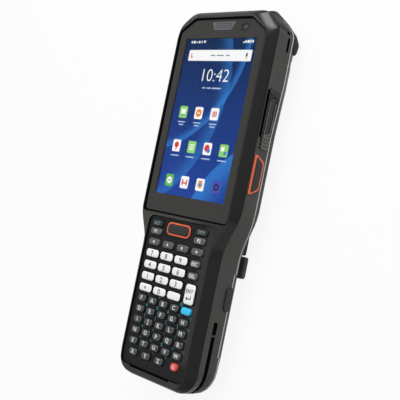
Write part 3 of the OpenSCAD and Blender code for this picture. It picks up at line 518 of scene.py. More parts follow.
def outline(w, h, r, n=6):
    """Points of a rectangle with round corners, anticlockwise, in mm round its middle."""
    r = min(r, w / 2 - 0.01, h / 2 - 0.01)
    corners = ((1, 1, 0), (-1, 1, 90), (-1, -1, 180), (1, -1, 270))
    points = []
    for sx, sy, start in corners:
        for i in range(n + 1):
            a = radians(start + 90 * i / n)
            points.append((sx * (w / 2 - r) + r * cos(a), sy * (h / 2 - r) + r * sin(a)))
    return points


class Shape:
    """Collects solids, in mm, and turns them into one object."""

    def __init__(self):
        self.verts, self.faces, self.slots = [], [], []

    def add(self, verts, faces, slot=0, at=(0, 0, 0)):
        first = len(self.verts)
        self.verts += [(v[0] + at[0], v[1] + at[1], v[2] + at[2]) for v in verts]
        self.faces += [[first + i for i in f] for f in faces]
        self.slots += [slot] * len(faces)

    def loft(self, rings, slot=0, at=(0, 0, 0)):
        """A solid through rings with the same number of points, from the bottom up."""
        n = len(rings[0])
        faces = [list(range(n))[::-1], [(len(rings) - 1) * n + i for i in range(n)]]
        for k in range(len(rings) - 1):
            for i in range(n):
                j = (i + 1) % n
                faces.append([k * n + i, k * n + j, (k + 1) * n + j, (k + 1) * n + i])
        self.add([p for ring in rings for p in ring], faces, slot, at)

    def stack(self, layers, slot=0, at=(0, 0, 0)):
        """A solid through flat outlines, each with its height, from the bottom up."""
        self.loft([[(x, y, z) for x, y in points] for points, z in layers], slot, at)

    def slab(self, points, z0, z1, slot=0, at=(0, 0, 0)):
        self.stack([(points, z0), (points, z1)], slot, at)

    def border(self, hole, rim, z0, z1, at):
        """A flat border between two outlines with the same number of points."""
        n = len(hole)
        verts = [(x, y, z) for points, z in ((hole, z0), (rim, z0), (rim, z1), (hole, z1)) for x, y in points]
        faces = [
            (k * n + i, k * n + (i + 1) % n, (k + 1) % 4 * n + (i + 1) % n, (k + 1) % 4 * n + i)
            for k in range(4) for i in range(n)
        ]
        self.add(verts, faces, 0, at)

    def build(self, name, node, materials, smooth=SHARP, replaces=True):
        """The collected solids as one piece for a node."""
        mesh = bpy.data.meshes.new(name)
        mesh.from_pydata([Vector(v) * MM for v in self.verts], [], self.faces)
        for polygon, index in zip(mesh.polygons, self.slots):
            polygon.material_index = index
        for material in materials:
            mesh.materials.append(material)
        with opened(mesh) as bm:
            bmesh.ops.recalc_face_normals(bm, faces=bm.faces)
        mesh.shade_smooth()
        mesh.set_sharp_from_angle(angle=radians(smooth))
        piece = put_in_scene(name, mesh)
        return attach(piece, node, replaces)


def slot_of(node):
    return next(s["material_slot"] for s in frame["record"]["subparts"] if s["node"] == node)


def attach(piece, node, replaces=True):
    """Puts a piece on its node's body, and in the node's place unless it only adds to it."""
    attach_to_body(piece, frame["nodes"][node]["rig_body"])
    if replaces:
        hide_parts(node)
    return piece


def refined(node, name, materials, edge=None, choose=None):
    """A copy of a solid with even normals, edges rounded when an edge radius is given, and its real finish.
    Replaces the node.
    """
    mesh = solid(node).copy()
    mesh.materials.clear()
    with opened(mesh) as bm:
        bmesh.ops.remove_doubles(bm, verts=bm.verts, dist=WELD)
        bmesh.ops.dissolve_limit(
            bm, angle_limit=radians(FLAT), verts=bm.verts, edges=bm.edges, delimit={"NORMAL"}
        )
        bmesh.ops.recalc_face_normals(bm, faces=bm.faces)
    for material in materials:
        mesh.materials.append(material)
    piece = put_in_scene(name, mesh)
    for polygon in mesh.polygons:
        polygon.material_index = choose(polygon, mesh) if choose else 0
    if edge:
        bevel = piece.modifiers.new("edges", "BEVEL")
        bevel.width = edge
        bevel.segments = 2
        bevel.limit_method = "ANGLE"
        bevel.angle_limit = radians(ROUNDED)
        bevel.use_clamp_overlap = True
        bevel.harden_normals = False
        apply_modifiers(piece)
    piece.data.shade_smooth()
    piece.data.set_sharp_from_angle(angle=radians(SHARP))
    weighted = piece.modifiers.new("normals", "WEIGHTED_NORMAL")
    weighted.keep_sharp = True
    apply_modifiers(piece)
    return attach(piece, node)


def apply_modifiers(piece):
    graph = bpy.context.evaluated_depsgraph_get()
    old = piece.data
    piece.data = bpy.data.meshes.new_from_object(piece.evaluated_get(graph), depsgraph=graph)
    piece.modifiers.clear()
    bpy.data.meshes.remove(old)


def paint(material, *nodes):
    """Gives solids that stay as they are their real finish."""
    for node in nodes:
        solid(node).materials.clear()
        solid(node).materials.append(material)


def islands(node):
    """Lowest and highest corners, in mm, of each separate solid in a node, from the top row down."""
    bm = bmesh.new()
    bm.from_mesh(solid(node))
    bmesh.ops.remove_doubles(bm, verts=bm.verts, dist=WELD)
    left, found = set(bm.verts), []
    while left:
        group, todo = set(), [left.pop()]
        while todo:
            v = todo.pop()
            group.add(v)
            near = [e.other_vert(v) for e in v.link_edges]
            todo += [w for w in near if w in left]
            left.difference_update(near)
        co = [v.co / MM for v in group]
        found.append((
            Vector(min(c[i] for c in co) for i in range(3)), Vector(max(c[i] for c in co) for i in range(3))
        ))
    bm.free()
    return sorted(found, key=lambda b: (-round(b[0].y), b[0].x))


CAPITAL = 0.69  # height of a capital letter, as a share of the text size


def glyphs(text, size, thin=0.0):
    """The solid of a short text, centred on the origin, its capitals size mm high: its points and faces.

    Heights are 0 and 1. Thin is a change of the strokes' outline, as a share of the text size.
    """
    curve = bpy.data.curves.new("glyphs", "FONT")
    curve.body = text
    curve.size = 1.0
    curve.offset = thin
    curve.resolution_u = 3
    curve.extrude = 0.5
    holder = put_in_scene("glyphs", curve)
    graph = bpy.context.evaluated_depsgraph_get()
    mesh = bpy.data.meshes.new_from_object(holder.evaluated_get(graph), depsgraph=graph)
    with opened(mesh) as bm:
        bmesh.ops.remove_doubles(bm, verts=bm.verts, dist=1e-5)
        verts = [v.co.copy() for v in bm.verts]
        bm.verts.index_update()
        faces = [[v.index for v in f.verts] for f in bm.faces]
    bpy.data.objects.remove(holder)
    bpy.data.curves.remove(curve)
    bpy.data.meshes.remove(mesh)
    xs, ys = [v.x for v in verts], [v.y for v in verts]
    mx, my = (min(xs) + max(xs)) / 2, (min(ys) + max(ys)) / 2
    scale = size / CAPITAL
    return [((v.x - mx) * scale, (v.y - my) * scale, 1 if v.z > 0 else 0) for v in verts], faces


# ---- Screen ----
PICTURE_W, PICTURE_LEN = 51.84, 86.4  # mm
PICTURE_T = 0.01   # mm; thickness of the layer that shows the picture
LIT_DEPTH = 0.012  # mm; the lit shapes start this far below the top of the display


def screen_middle():
    low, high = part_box("display_panel")
    return (low.x + high.x) / 2, (low.y + high.y) / 2, high.z


SCREEN_X, SCREEN_Y, SCREEN_Z = (c / MM for c in screen_middle())
PICTURE = [
    ((SCREEN_X + s * PICTURE_W / 2) * MM, (SCREEN_Y + s * PICTURE_LEN / 2) * MM, SCREEN_Z * MM)
    for s in (-1, 1)
]


class TERMINAL_OT_glass(bpy.types.Operator):
    """Cover glass with its printed border, and the display panel with its picture under it"""

    bl_idname = "terminal.glass"
    bl_label = "Cover glass and display"

    def execute(self, context):
        self.cover_glass()
        self.display()
        paint(finishes.grille, "earpiece_grille")
        self.front_camera()
        return {"FINISHED"}

    def cover_glass(self):
        """The border is printed, and the window in it is clear."""
        glass = refined("touch_glass", "cover_glass", [finishes.glass_ink, finishes.glass_clear])
        (x0, y0, _), (x1, y1, _) = PICTURE
        cuts = (x0, 0, (1, 0, 0)), (x1, 0, (1, 0, 0)), (0, y0, (0, 1, 0)), (0, y1, (0, 1, 0))
        with opened(glass.data) as bm:
            for x, y, direction in cuts:
                everything = bm.verts[:] + bm.edges[:] + bm.faces[:]
                bmesh.ops.bisect_plane(bm, geom=everything, plane_co=(x, y, 0), plane_no=direction, dist=1e-7)
            for face in bm.faces:
                c = face.calc_center_median()
                if x0 < c.x < x1 and y0 < c.y < y1:
                    face.material_index = 1

    def display(self):
        low, high = box_of("display_panel")
        panel = Shape()
        middle, z = (SCREEN_X, SCREEN_Y, 0), high.z - 2 * PICTURE_T
        panel.slab(outline(high.x - low.x, high.y - low.y, 0.6, 3), low.z, z, 0, middle)
        panel.slab(outline(PICTURE_W, PICTURE_LEN, 0.02, 1), z, high.z - PICTURE_T, 1, middle)
        panel.build("display", "display_panel", [finishes.panel_black, finishes.picture])

    def front_camera(self):
        """Lens in a dark barrel, behind a round hole in the glass with a dark oblong printed round it."""
        low, high = box_of("front_camera")
        tip = [c for c in corners_of("front_camera") if c.z > high.z - 0.01]
        x, y = sum(v.x for v in tip) / len(tip), sum(v.y for v in tip) / len(tip)
        r = max(hypot(v.x - x, v.y - y) for v in tip)
        base, top = low.z + 1.4, high.z
        barrel = ((r, base), (r, top - 0.15), (r - 0.15, top), (r * 0.62, top), (r * 0.5, top - 0.5))
        lens = ((0.5, 0.55), (0.55, 0.2), (0.4, 0.1), (0.1, 0.05))  # share of the radius, depth below the top
        lens = [(r * share, top - depth) for share, depth in lens]
        camera = Shape()
        camera.slab(outline(6, 6, 0.3, 3), low.z, base, 0, (x, y, 0))
        for slot, profile in enumerate((barrel, lens)):
            camera.stack([(circle(q, 40), z) for q, z in profile], slot, (x, y, 0))
        camera.build("selfie_camera", "front_camera", [finishes.engine, finishes.pale_lens], 30)
        ring = Shape()
        hole, top = outline(2 * r + 0.2, 2 * r + 0.2, r + 0.1, 9), GLASS_HIGH.z
        ring.border(hole, outline(2 * r + 2.6, 2 * r + 0.9, 1.0, 9), top, top + 0.02, (x, y, 0))
        ring.build("camera_ring", "touch_glass", [finishes.panel_black], replaces=False)


class TERMINAL_OT_picture(bpy.types.Operator):
    """What the display shows: status marks, a search bar, a clock and tiles of plain shapes"""

    bl_idname = "terminal.picture"
    bl_label = "Picture on the display"

    # Colours of the shapes, by the letter that the tiles below use
    LIT = {
        "w": "#fafbfb", "g": "#62bd52", "l": "#92d76c", "o": "#f0852a", "r": "#dd3b30", "b": "#3f7fe0",
        "v": "#4c4fb2", "y": "#f3c23a", "k": "#2b2f45", "p": "#b9cdee", "s": "#8f969c",
    }

    def execute(self, context):
        self.order = list(self.LIT)
        self.shape = Shape()
        self.status()
        self.search()
        self.clock()
        self.tiles()
        shades = [lit(letter, self.LIT[letter]) for letter in self.order]
        self.shape.build("display_shapes", "display_panel", shades, replaces=False)
        return {"FINISHED"}

    def put(self, points, letter, x, y, layer=0):
        """One flat lit shape, x and y in mm from the middle of the picture."""
        t = sizes().print_t / MM / 5
        z0 = SCREEN_Z - LIT_DEPTH + layer * t
        self.shape.slab(points, z0, z0 + 2 * t, self.order.index(letter), (SCREEN_X + x, SCREEN_Y + y, 0))

    def bar(self, w, h, letter, x, y, layer=0, r=None):
        self.put(outline(w, h, h / 2 if r is None else r, 4), letter, x, y, layer)

    def disc(self, r, letter, x, y, layer=0):
        self.put(circle(r, 24), letter, x, y, layer)

    def status(self):
        for i, (w, h) in enumerate(((0.9, 1.3), (1.3, 1.5), (0.7, 0.9), (1.1, 1.4), (0.6, 1.2))):
            self.bar(w, h, "w", -22 + 1.9 * i, 41.4, r=0.15)
        self.put([(1.1, 0.7), (0, -0.8), (-1.1, 0.7)], "w", -12.3, 41.4)
        for i, h in enumerate((0.7, 1.1, 1.5)):
            self.bar(0.65, h, "w", 16.2 + 0.95 * i, 40.7 + h / 2, r=0.1)
        for i, w in enumerate((1.4, 0.7, 0.9)):
            self.bar(w, 1.5, "w", 19.6 + 1.5 * i, 41.45, r=0.15)

    def search(self):
        self.bar(46, 6, "w", 0.5, 34, r=0.4)
        self.bar(0.6, 2.6, "r", -20.4, 34, 2, 0.1)
        self.bar(1.4, 0.6, "o", -19.6, 33, 2, 0.1)
        for i, w in enumerate((3.6, 5.2, 2.8)):
            self.bar(w, 0.7, "s", -4 + 5.4 * i, 34, 2)
        self.bar(1.1, 2.2, "k", 20.2, 34.3, 2)
        self.bar(2.0, 0.5, "y", 20.2, 32.5, 2)

    def clock(self):
        points, faces = glyphs("10:42", 6.8, -0.012)
        t = sizes().print_t / MM / 5
        z0 = SCREEN_Z - LIT_DEPTH
        verts = [(x, y, z0 + z * 2 * t) for x, y, z in points]
        self.shape.add(verts, faces, self.order.index("w"), (SCREEN_X + 1, SCREEN_Y + 23.2, 0))
        for x, w in ((-6, 2.2), (-2.2, 3.2), (3.4, 6.4)):
            self.bar(w, 0.7, "p", x, 16.2)

    def tiles(self):
        # Each tile: its middle and colour, then its marks. A bar has a width, height, colour and place in the
        # tile, a disc has a radius instead of the width and height
        tiles = (
            (-17.6, 2.4, "l", (3.4, 2.6, "w", 0, 0.4), (3.4, 0.5, "b", 0, -1.8)),
            (-5.8, 2.4, "w", (2.1, "o", 0, 0), (2.0, 0.6, "w", 0, 0)),
            (6.0, 2.4, "w", (0.6, 3, "r", -1.2, 0), (1.0, 3, "r", 0, 0), (0.5, 3, "k", 1.3, 0)),
            (-17.6, -16.2, "w", (1.6, "r", 0, 0.5), (0.7, 2.2, "r", 0, -1.4)),
            (-5.8, -16.2, "l", (3.6, 0.6, "w", 0, 1.2), (3.6, 0.6, "w", 0, 0), (3.6, 0.6, "w", 0, -1.2)),
            (6.0, -16.2, "w", (1.9, "r", -0.4, 0.3), (1.2, "b", 1.0, -1.0)),
            (17.8, -16.2, "l", (2.2, 2.2, "w", -0.8, 0.8), (1.8, 1.8, "b", 1.2, -1.4)),
            (-17.6, -35.4, "g", (1.9, "w", 0, 0), (2.0, 0.7, "g", 0, 0)),
            (-5.8, -35.4, "w", (0.9, 3.2, "r", -1.6, 0), (0.9, 3.2, "r", 1.6, 0), (2.2, 0.8, "r", 0, -0.4)),
            (6.0, -35.4, "w", (2.0, "y", 0, 0), (1.1, "b", 0, 0), (2.6, 0.6, "r", 0, 1.8)),
            (17.8, -35.4, "v", (1.9, "k", 0, 0), (0.8, "v", 0, 0)),
        )
        for x, y, letter, *marks in tiles:
            self.bar(6.0, 6.6, letter, x, y, 0, 0.9)
            for i, (*size, shade, dx, dy) in enumerate(marks):
                layer = 2 + 2 * i
                if len(size) == 1:
                    self.disc(*size, shade, x + dx, y + dy, layer)
                else:
                    self.bar(*size, shade, x + dx, y + dy, layer, 0.15)
            # Lines under a tile stand for its name; the lowest row has none
            if y > -30:
                for i, w in enumerate((5.4, 3.8) if y > 0 else (6.4,)):
                    self.bar(w, 0.6, "p", x, y - 5.4 - 1.5 * i)


# ---- Housing ----
# Finishes of the housing's faces, chosen by the way each face points: the darker bevels and the recesses
# carry painted shade, the band at the right corner a painted highlight
BEVEL, SIDE, FRONT, RECESS, PAINTED_HIGHLIGHT, CORNER = range(6)
LEVEL = 0.97         # a face is level when its normal points up by more than this
UPRIGHT = 0.36       # a face is upright when its normal points up or down by less than this
CORNER_TURN = 0.35   # a corner's face points to a side and to the end of the head by more than this
HIGHLIGHT_TURN = 0.25   # and this is enough for the bevel at the right corner, which carries the painted highlight
CORNER_Y = 80        # mm; the corners of the head lie beyond this
GROOVE_H = 2.6       # mm; faces of the side walls that are lower than this lie in a groove
GROOVE_REACH = 12.6  # mm; down to this depth below the glass
GLASS_GAP = 0.3      # mm; level faces deeper below the glass than this are the line round it
SIDEWAYS = 0.9       # the floor of a pocket in the side points sideways by more than this
POCKET = 0.9         # mm; how far the floors of pockets in the head's side lie below its surface
HEAD_START = 10      # mm; how far above the lower end of the glass these pockets begin


def bevel_or_side(polygon, mesh=None):
    return SIDE if abs(polygon.normal.z) < UPRIGHT else BEVEL


def is_corner(polygon):
    """Whether a face is on an upright corner of the head, where the hood's rubber laps over the sides."""
    right, end, up = polygon.normal
    turned = abs(right) > CORNER_TURN and end > CORNER_TURN and abs(up) < UPRIGHT
    return turned and polygon.center.y / MM > CORNER_Y


def rear_face(polygon, mesh):
    return 2 if is_corner(polygon) else bevel_or_side(polygon)


def front_face(polygon, mesh):
    """Which finish a face of the front housing has. Grooves, pockets and the line round the glass lie lower
    and get painted shade.
    """
    right, end, up = polygon.normal
    heights = [mesh.vertices[i].co.z / MM for i in polygon.vertices]
    if is_corner(polygon):
        return CORNER
    if up > LEVEL:
        return FRONT if max(heights) > GLASS_HIGH.z - GLASS_GAP else RECESS
    if abs(up) < UPRIGHT:
        groove = max(heights) - min(heights) < GROOVE_H and min(heights) > GLASS_HIGH.z - GROOVE_REACH
        pocket = abs(right) > SIDEWAYS and abs(polygon.center.x) / MM < SIDE_X - POCKET
        head = polygon.center.y / MM > GLASS_LOW.y + HEAD_START
        return RECESS if groove or (pocket and head) else SIDE
    return PAINTED_HIGHLIGHT if right > HIGHLIGHT_TURN and end > HIGHLIGHT_TURN else BEVEL


class TERMINAL_OT_housing(bpy.types.Operator):
    """Front and rear housing with rounded edges, the battery cover, and the rubber hood"""

    bl_idname = "terminal.housing"
    bl_label = "Housing"

    def execute(self, context):
        names = ("abs_black", "abs_olive", "abs_front", "recess", "worn", "rubber")
        shell = [getattr(finishes, name) for name in names]  # in the order of the numbers above
        refined("front_housing", "front_shell", shell, choose=front_face)
        refined("rear_housing", "rear_shell", shell[:2] + [finishes.rubber], choose=rear_face)
        refined("battery_cover", "battery_door", shell[:2], choose=bevel_or_side)
        refined("top_hood", "rubber_hood", [finishes.rubber], edge=sizes().edge)
        refined("strap_bracket", "bracket", [finishes.abs_black], edge=sizes().edge)
        paint(finishes.seal, "housing_seal")
        return {"FINISHED"}


RIDGE_RISE = 0.1  # mm; the ridge and the ribs of the port cover stand out of the side by more than this
COVER_EDGE = 0.8  # faces of the port cover that point up by more than this lie in the groove round it


def flap_face(polygon, mesh):
    """Which finish a face of the port cover has: painted shade in the groove, painted highlight on the ridge,
    or plain.
    """
    if polygon.normal.z > COVER_EDGE:
        return 2
    return 1 if polygon.center.x / MM > SIDE_X + RIDGE_RISE else 0


class TERMINAL_OT_side_parts(bpy.types.Operator):
    """Triggers and their rings, latches, port cover and its hinge"""

    bl_idname = "terminal.side_parts"
    bl_label = "Side parts"

    def execute(self, context):
        edge = sizes().small_edge
        refined("trigger_rings", "orange_rings", [finishes.orange], edge=edge)
        for side in ("right", "left"):
            refined(f"{side}_trigger", f"{side}_trigger_cap", [finishes.button], edge=edge)
            refined(f"{side}_latch", f"{side}_latch_cap", [finishes.button], edge=edge)
        flap = [finishes.flap, finishes.flap_ridge, finishes.recess]
        refined("port_cover", "port_flap", flap, edge=edge, choose=flap_face)
        refined("port_hinge", "port_flap_anchor", [flap[0], flap[0], flap[2]], edge=edge, choose=flap_face)
        return {"FINISHED"}


# ---- Keys ----
# Profile of a key cap above its foot: inset from the side and depth below the top, in mm
CAP_PROFILE = ((0, 0.95), (0.03, 0.6), (0.1, 0.38), (0.24, 0.2), (0.45, 0.09), (0.8, 0.03), (1.5, 0))
FOOT = 0.4         # mm; how far the foot reaches beyond the cap
FOOT_T = 0.8       # mm
SKIRT_RINGS = 5    # rings of faces, from the foot up, that belong to the skirt; a dark skirt paints the shade on a white cap's sides
PRINT_RISE = 0.04  # mm; the caps stay this far below the top of their solids, for the print
PRINT_DEPTH = 0.2  # mm; how far the print reaches into the crown of a cap
CAP_SHARP = 50     # degrees; the crown is shaded without an edge up to this


def add_cap(shape, low, high, skirt=0):
    """A key cap with its foot, in the box of its solid. Returns the middle of its top.

    The skirt, up to the first curve of the crown, has its own material: a dark one on white caps, as painted
    shade.
    """
    x, y = (low.x + high.x) / 2, (low.y + high.y) / 2
    w, h = high.x - low.x - 2 * FOOT, high.y - low.y - 2 * FOOT
    r = min(1.6, h / 2 - 0.2)
    foot = outline(w + 2 * FOOT, h + 2 * FOOT, r)
    layers = [(foot, low.z), (foot, low.z + FOOT_T), (outline(w, h, r), low.z + FOOT_T)]
    for a, b in CAP_PROFILE:
        layers.append((outline(w - 2 * a, h - 2 * a, max(0.15, r - a)), high.z - PRINT_RISE - b))
    first = len(shape.slots)
    shape.stack(layers, 0, (x, y, 0))
    side = SKIRT_RINGS * len(foot)
    shape.slots[first:first + 2 + side] = [skirt, 0] + [skirt] * side
    return x, y, high.z


def add_legend(shape, cap, text, size, dy=0.0, thin=0.0):
    """Text printed on the top of a cap."""
    x, y, top = cap
    points, faces = glyphs(text, size, thin)
    shape.add([(x + px, y + py + dy, top - PRINT_DEPTH * (1 - up)) for px, py, up in points], faces, 1)


def add_mark(shape, cap, points):
    """A printed shape on the top of a cap."""
    x, y, top = cap
    shape.slab(points, top - PRINT_DEPTH, top, 1, (x, y, 0))


class TERMINAL_OT_keys(bpy.types.Operator):
    """Crowned key caps with printed legends, the bezel round them and the ring of the scan key"""

    bl_idname = "terminal.keys"
    bl_label = "Keypad"

    # Legends of the keys that show neither a mark nor the last character of their name
    LEGENDS = {"p1_key": "P1", "p2_key": "P2", "escape_key": "ESC", "delete_key": "DEL", "key_star": "*"}
    BLANK = ("blue_key", "scan_key", "key_plain")
    # Letters of the keys in each node, by rows from the left
    ROWS = {
        "letter_keys_a_to_h": "FABCDEFGH",
        "letter_keys_i_to_r": "IJKLMNOPQR",
        "letter_keys_s_to_z": "STUVWXYZ",
    }

    def execute(self, context):
        for node in frame["nodes"]:
            if node.endswith("_key") or node.startswith("key_"):
                self.single(node)
            elif node.startswith("letter_keys"):
                self.letters(node)
        refined("keypad_bezel", "bezel_plate", [finishes.bezel])
        refined("scan_key_ring", "scan_ring", [finishes.orange], edge=sizes().small_edge)
        self.side_prints()
        return {"FINISHED"}

    def single(self, node):
        slot = slot_of(node)
        shape = Shape()
        white = slot == "key_white"
        soft = node.endswith("soft_key")
        # White caps get a dark skirt: painted shade on their sides
        cap = add_cap(shape, *box_of(node), 2 if white else 0)
        if node.endswith("arrow_key"):
            turn = {"right": 0, "up": 90, "left": 180, "down": 270}[node.split("_")[0]]
            corners = [radians(a + turn) for a in (0, 125, 235)]
            add_mark(shape, cap, [(cos(a), sin(a)) for a in corners])
        elif soft:
            add_legend(shape, cap, "ALT" if "left" in node else "SYM", 1.8, thin=0.01)
        elif node == "power_key":
            self.power_mark(shape, cap)
        elif node == "enter_key":
            add_legend(shape, cap, "ENT", 1.9, 1.6, 0.015)
            self.hook(shape, cap)
        elif node not in self.BLANK:
            size = sizes().digit if white else sizes().letter * 0.85
            add_legend(shape, cap, self.LEGENDS.get(node, node[-1]), size / MM, thin=0.008 if white else 0.02)
        ink = finishes.print_dark if white else finishes.print_white
        plastic = getattr(finishes, slot)
        if soft or node == "scan_key":
            ink, plastic = finishes.print_soft, finishes.key_black
        shape.build("cap_" + node, node, [plastic, ink, finishes.key_black], CAP_SHARP)

    def hook(self, shape, cap):
        """Bent arrow of the enter key."""
        add_mark(shape, cap, [(1.7, -0.6), (1.2, -0.6), (1.2, -2.0), (-1.0, -2.0), (-1.0, -2.5), (1.7, -2.5)])
        add_mark(shape, cap, [(-0.9, -1.3), (-2.1, -2.25), (-0.9, -3.2)])

    def power_mark(self, shape, cap):
        """Open ring with a stroke in its gap."""
        arcs = [(a, 0.95) for a in range(125, 416, 29)] + [(a, 0.62) for a in range(415, 124, -29)]
        add_mark(shape, cap, [(q * cos(radians(a)), q * sin(radians(a))) for a, q in arcs])
        add_mark(shape, cap, [(0.17, 1.15), (-0.17, 1.15), (-0.17, 0.1), (0.17, 0.1)])

    def letters(self, node):
        shape = Shape()
        for (low, high), letter in zip(islands(node), self.ROWS[node]):
            add_legend(shape, add_cap(shape, low, high), letter, sizes().letter / MM, thin=0.02)
        shape.build("caps_" + node, node, [finishes.key_dark, finishes.print_white], CAP_SHARP)

    def side_prints(self):
        """Small second legends printed on the bezel, up and to the right of each letter key."""
        shape = Shape()
        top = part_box("keypad_bezel")[1].z / MM
        keys = [high for node in self.ROWS for _, high in islands(node)]
        marks = "-=/@#%&?!()[]<>+:;'~^$*\\|"
        for index, high in enumerate(keys):
            x, y = high.x - FOOT + 0.7, high.y - FOOT + 0.75
            points, faces = glyphs(marks[index % len(marks)], 1.7)
            shape.add([(x + a, y + b, top + 0.02 * c) for a, b, c in points], faces)
        shape.build("bezel_prints", "keypad_bezel", [finishes.print_teal], replaces=False)


# ---- Back and inner parts ----
class TERMINAL_OT_strap(bpy.types.Operator):
    """Hand strap: a padded head and a woven band"""

    bl_idname = "terminal.strap"
    bl_label = "Hand strap"

    EDGE_ROLL = 0.9  # mm; radius of the pad's edges
    OVERLAP = 4      # mm; length of the band that lies in the pad
    END = 0.5        # mm; length of the end of the band at which its width and thickness are measured
    WIDER = 2        # mm; the pad is wider than the band by more than this on each side

    def execute(self, context):
        low, high = box_of("hand_strap")
        co = corners_of("hand_strap")
        tail = [c for c in co if c.y < low.y + self.END]
        half = max(abs(c.x) for c in tail)
        wide = [c.y for c in co if abs(c.x) > half + self.WIDER]
        self.pad(low, high, min(wide), max(wide))
        self.webbing(half, low.y, min(wide) + self.OVERLAP, min(c.z for c in tail), max(c.z for c in tail))
        return {"FINISHED"}

    def pad(self, low, high, y0, y1):
        """Foam pad with rolled edges, over the wide part of the solid."""
        w, h = high.x - low.x, y1 - y0
        roll, steps = self.EDGE_ROLL, 6
        layers = []
        for middle, first in ((low.z + roll, -90), (high.z - roll, 0)):
            for i in range(steps + 1):
                a = radians(first + 90 * i / steps)
                d = roll * (1 - cos(a))
                layers.append((outline(w - 2 * d, h - 2 * d, max(0.4, 1.4 - d), 5), middle + roll * sin(a)))
        shape = Shape()
        shape.stack(layers, 0, (0, (y0 + y1) / 2, 0))
        piece = shape.build("strap_pad", "hand_strap", [finishes.pad], 60)

    def webbing(self, half_w, y0, y1, z0, z1):
        """Woven band with round edges."""
        half_t, middle, steps = (z1 - z0) / 2, (z0 + z1) / 2, 24
        bulge = half_t * 0.6
        section = []
        for sx, sz in ((1, -1), (1, 1), (-1, 1), (-1, -1)):
            for j in range(3):
                a = j * pi / 4
                across, up = (cos(a), sin(a)) if sz * sx < 0 else (sin(a), cos(a))
                section.append((sx * (half_w - bulge + bulge * across), middle + sz * half_t * up))
        shape = Shape()
        shape.loft([[(x, y0 + (y1 - y0) * i / steps, z) for x, z in section] for i in range(steps + 1)])
        shape.build("strap_band", "hand_strap", [finishes.webbing], 40)


class TERMINAL_OT_inner_parts(bpy.types.Operator):
    """Finishes of the electronics, the battery, the cameras, the contacts and the screws"""

    bl_idname = "terminal.inner_parts"
    bl_label = "Inner and back parts"

    PAINTED = {
        "board": ("main_board", "keypad_board"), "battery": ("battery_pack",), "lens": ("rear_camera",),
        "engine": ("scan_engine", "loudspeaker"), "lamp": ("flash_lamp",), "scan_window": ("scan_window",),
        "steel": ("port_connector",), "gold": ("dock_contacts",), "screw": ("housing_screws",),
    }

    def execute(self, context):
        for finish, nodes in self.PAINTED.items():
            paint(getattr(finishes, finish), *nodes)
        return {"FINISHED"}


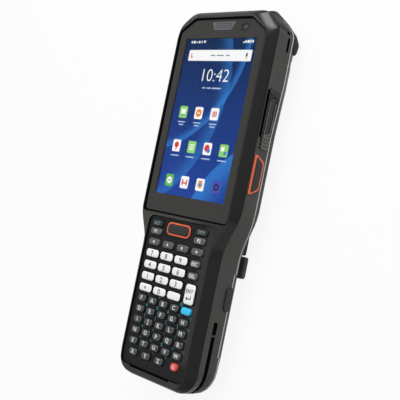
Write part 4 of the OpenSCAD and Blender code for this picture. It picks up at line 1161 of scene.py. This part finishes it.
# ---- Stage ----
class TERMINAL_OT_stage(bpy.types.Operator):
    """Pale floor, soft lights and the camera"""

    bl_idname = "terminal.stage"
    bl_label = "Stage"

    CAMERA_AT = (0.300685, -0.013021, 0.323664)
    CAMERA_TURN = (12.442, 43.088, 16.046)

    def execute(self, context):
        scene = context.scene
        self.camera(scene)
        self.floor()
        self.world(scene)
        stage = scene.terminal_stage
        self.light("top_light", (0.1, 0.5, 0.8), 0.9, stage.key_light)
        self.light("side_light", (0.35, 0.9, 0.22), 0.6, stage.side_light)
        scene.view_settings.view_transform = "Standard"
        return {"FINISHED"}

    def camera(self, scene):
        data = bpy.data.cameras.new("camera")
        data.lens = scene.terminal_stage.lens
        data.sensor_width = 36
        data.clip_start = 0.01
        camera = put_in_scene("camera", data)
        camera.location = self.CAMERA_AT
        camera.rotation_euler = [radians(a) for a in self.CAMERA_TURN]
        scene.camera = camera

    def light(self, name, at, size, power):
        """A square soft light at a place in metres, aimed at the object."""
        data = bpy.data.lights.new(name, "AREA")
        data.shape = "SQUARE"
        data.size = size
        data.energy = power
        lamp = put_in_scene(name, data)
        aim = Vector((0, 0, 0.015)) - Vector(at)
        lamp.matrix_world = Matrix.Translation(at) @ aim.to_track_quat("-Z", "Y").to_matrix().to_4x4()

    def seen_directly(self, tree):
        """1 for what the camera sees itself, in a reflection or through glass, and 0 for light."""
        path = add_node(tree, "LightPath")
        seen = combined(tree, "MAXIMUM", path.outputs["Is Camera Ray"], path.outputs["Is Glossy Ray"])
        return combined(tree, "MAXIMUM", seen, path.outputs["Is Transmission Ray"])

    def floor(self):
        corners = [(-3, -3, 0), (3, -3, 0), (3, 3, 0), (-3, 3, 0)]
        mesh = bpy.data.meshes.new("floor")
        mesh.from_pydata(corners, [], [(0, 1, 2, 3)])
        floor = put_in_scene("floor", mesh)
        paper = (0.9, 0.9, 0.9)
        material, tree, shader = start_material("floor, white paper", paper, 0.9, Specular_IOR_Level=0.0)
        seen = self.seen_directly(tree)
        share = add_node(tree, "Math", {"operation": "MULTIPLY", 1: 0.9}, _0=seen).outputs[0]
        white = add_node(tree, "Emission", {"Color": (1, 1, 1, 1), "Strength": 1.0})
        mix = add_node(tree, "MixShader", _0=share, _1=shader.outputs[0], _2=white.outputs[0])
        tree.links.new(mix.outputs[0], tree.nodes["Material Output"].inputs[0])
        mesh.materials.append(material)

    def world(self, scene):
        world = bpy.data.worlds.new("studio")
        scene.world = world
        world.use_nodes = True
        tree = world.node_tree
        room = tree.nodes["Background"]
        room.inputs["Strength"].default_value = scene.terminal_stage.world
        room.inputs["Color"].default_value = (1, 1, 1, 1)
        white = add_node(tree, "Background", {"Color": (1, 1, 1, 1), "Strength": 1.0})
        seen = self.seen_directly(tree)
        mix = add_node(tree, "MixShader", _0=seen, _1=room.outputs[0], _2=white.outputs[0])
        tree.links.new(mix.outputs[0], tree.nodes["World Output"].inputs[0])


class TERMINAL_PT_panel(bpy.types.Panel):
    """Lists the pieces of the terminal"""

    bl_idname = "TERMINAL_PT_panel"
    bl_label = "Barcode Terminal"
    bl_space_type = "VIEW_3D"
    bl_region_type = "UI"
    bl_category = "Terminal"

    def draw(self, context):
        for operator in OPERATORS:
            self.layout.operator(operator.bl_idname)
        scene = context.scene
        for group in (scene.terminal_colours, scene.terminal_sizes, scene.terminal_stage):
            box = self.layout.box()
            for name in group.bl_rna.properties.keys():
                if name not in ("rna_type", "name"):
                    box.prop(group, name)


OPERATORS = (
    TERMINAL_OT_glass, TERMINAL_OT_picture, TERMINAL_OT_housing, TERMINAL_OT_side_parts, TERMINAL_OT_keys,
    TERMINAL_OT_strap, TERMINAL_OT_inner_parts, TERMINAL_OT_stage,
)
CLASSES = (TerminalColours, TerminalSizes, TerminalStage, *OPERATORS, TERMINAL_PT_panel)


def register():
    for cls in CLASSES:
        bpy.utils.register_class(cls)
    bpy.types.Scene.terminal_colours = PointerProperty(type=TerminalColours)
    bpy.types.Scene.terminal_sizes = PointerProperty(type=TerminalSizes)
    bpy.types.Scene.terminal_stage = PointerProperty(type=TerminalStage)


def unregister():
    del bpy.types.Scene.terminal_stage
    del bpy.types.Scene.terminal_sizes
    del bpy.types.Scene.terminal_colours
    for cls in reversed(CLASSES):
        bpy.utils.unregister_class(cls)


def main():
    register()
    for operator in OPERATORS:
        group, name = operator.bl_idname.split(".")
        getattr(getattr(bpy.ops, group), name)()


if __name__ == "__main__":
    main()
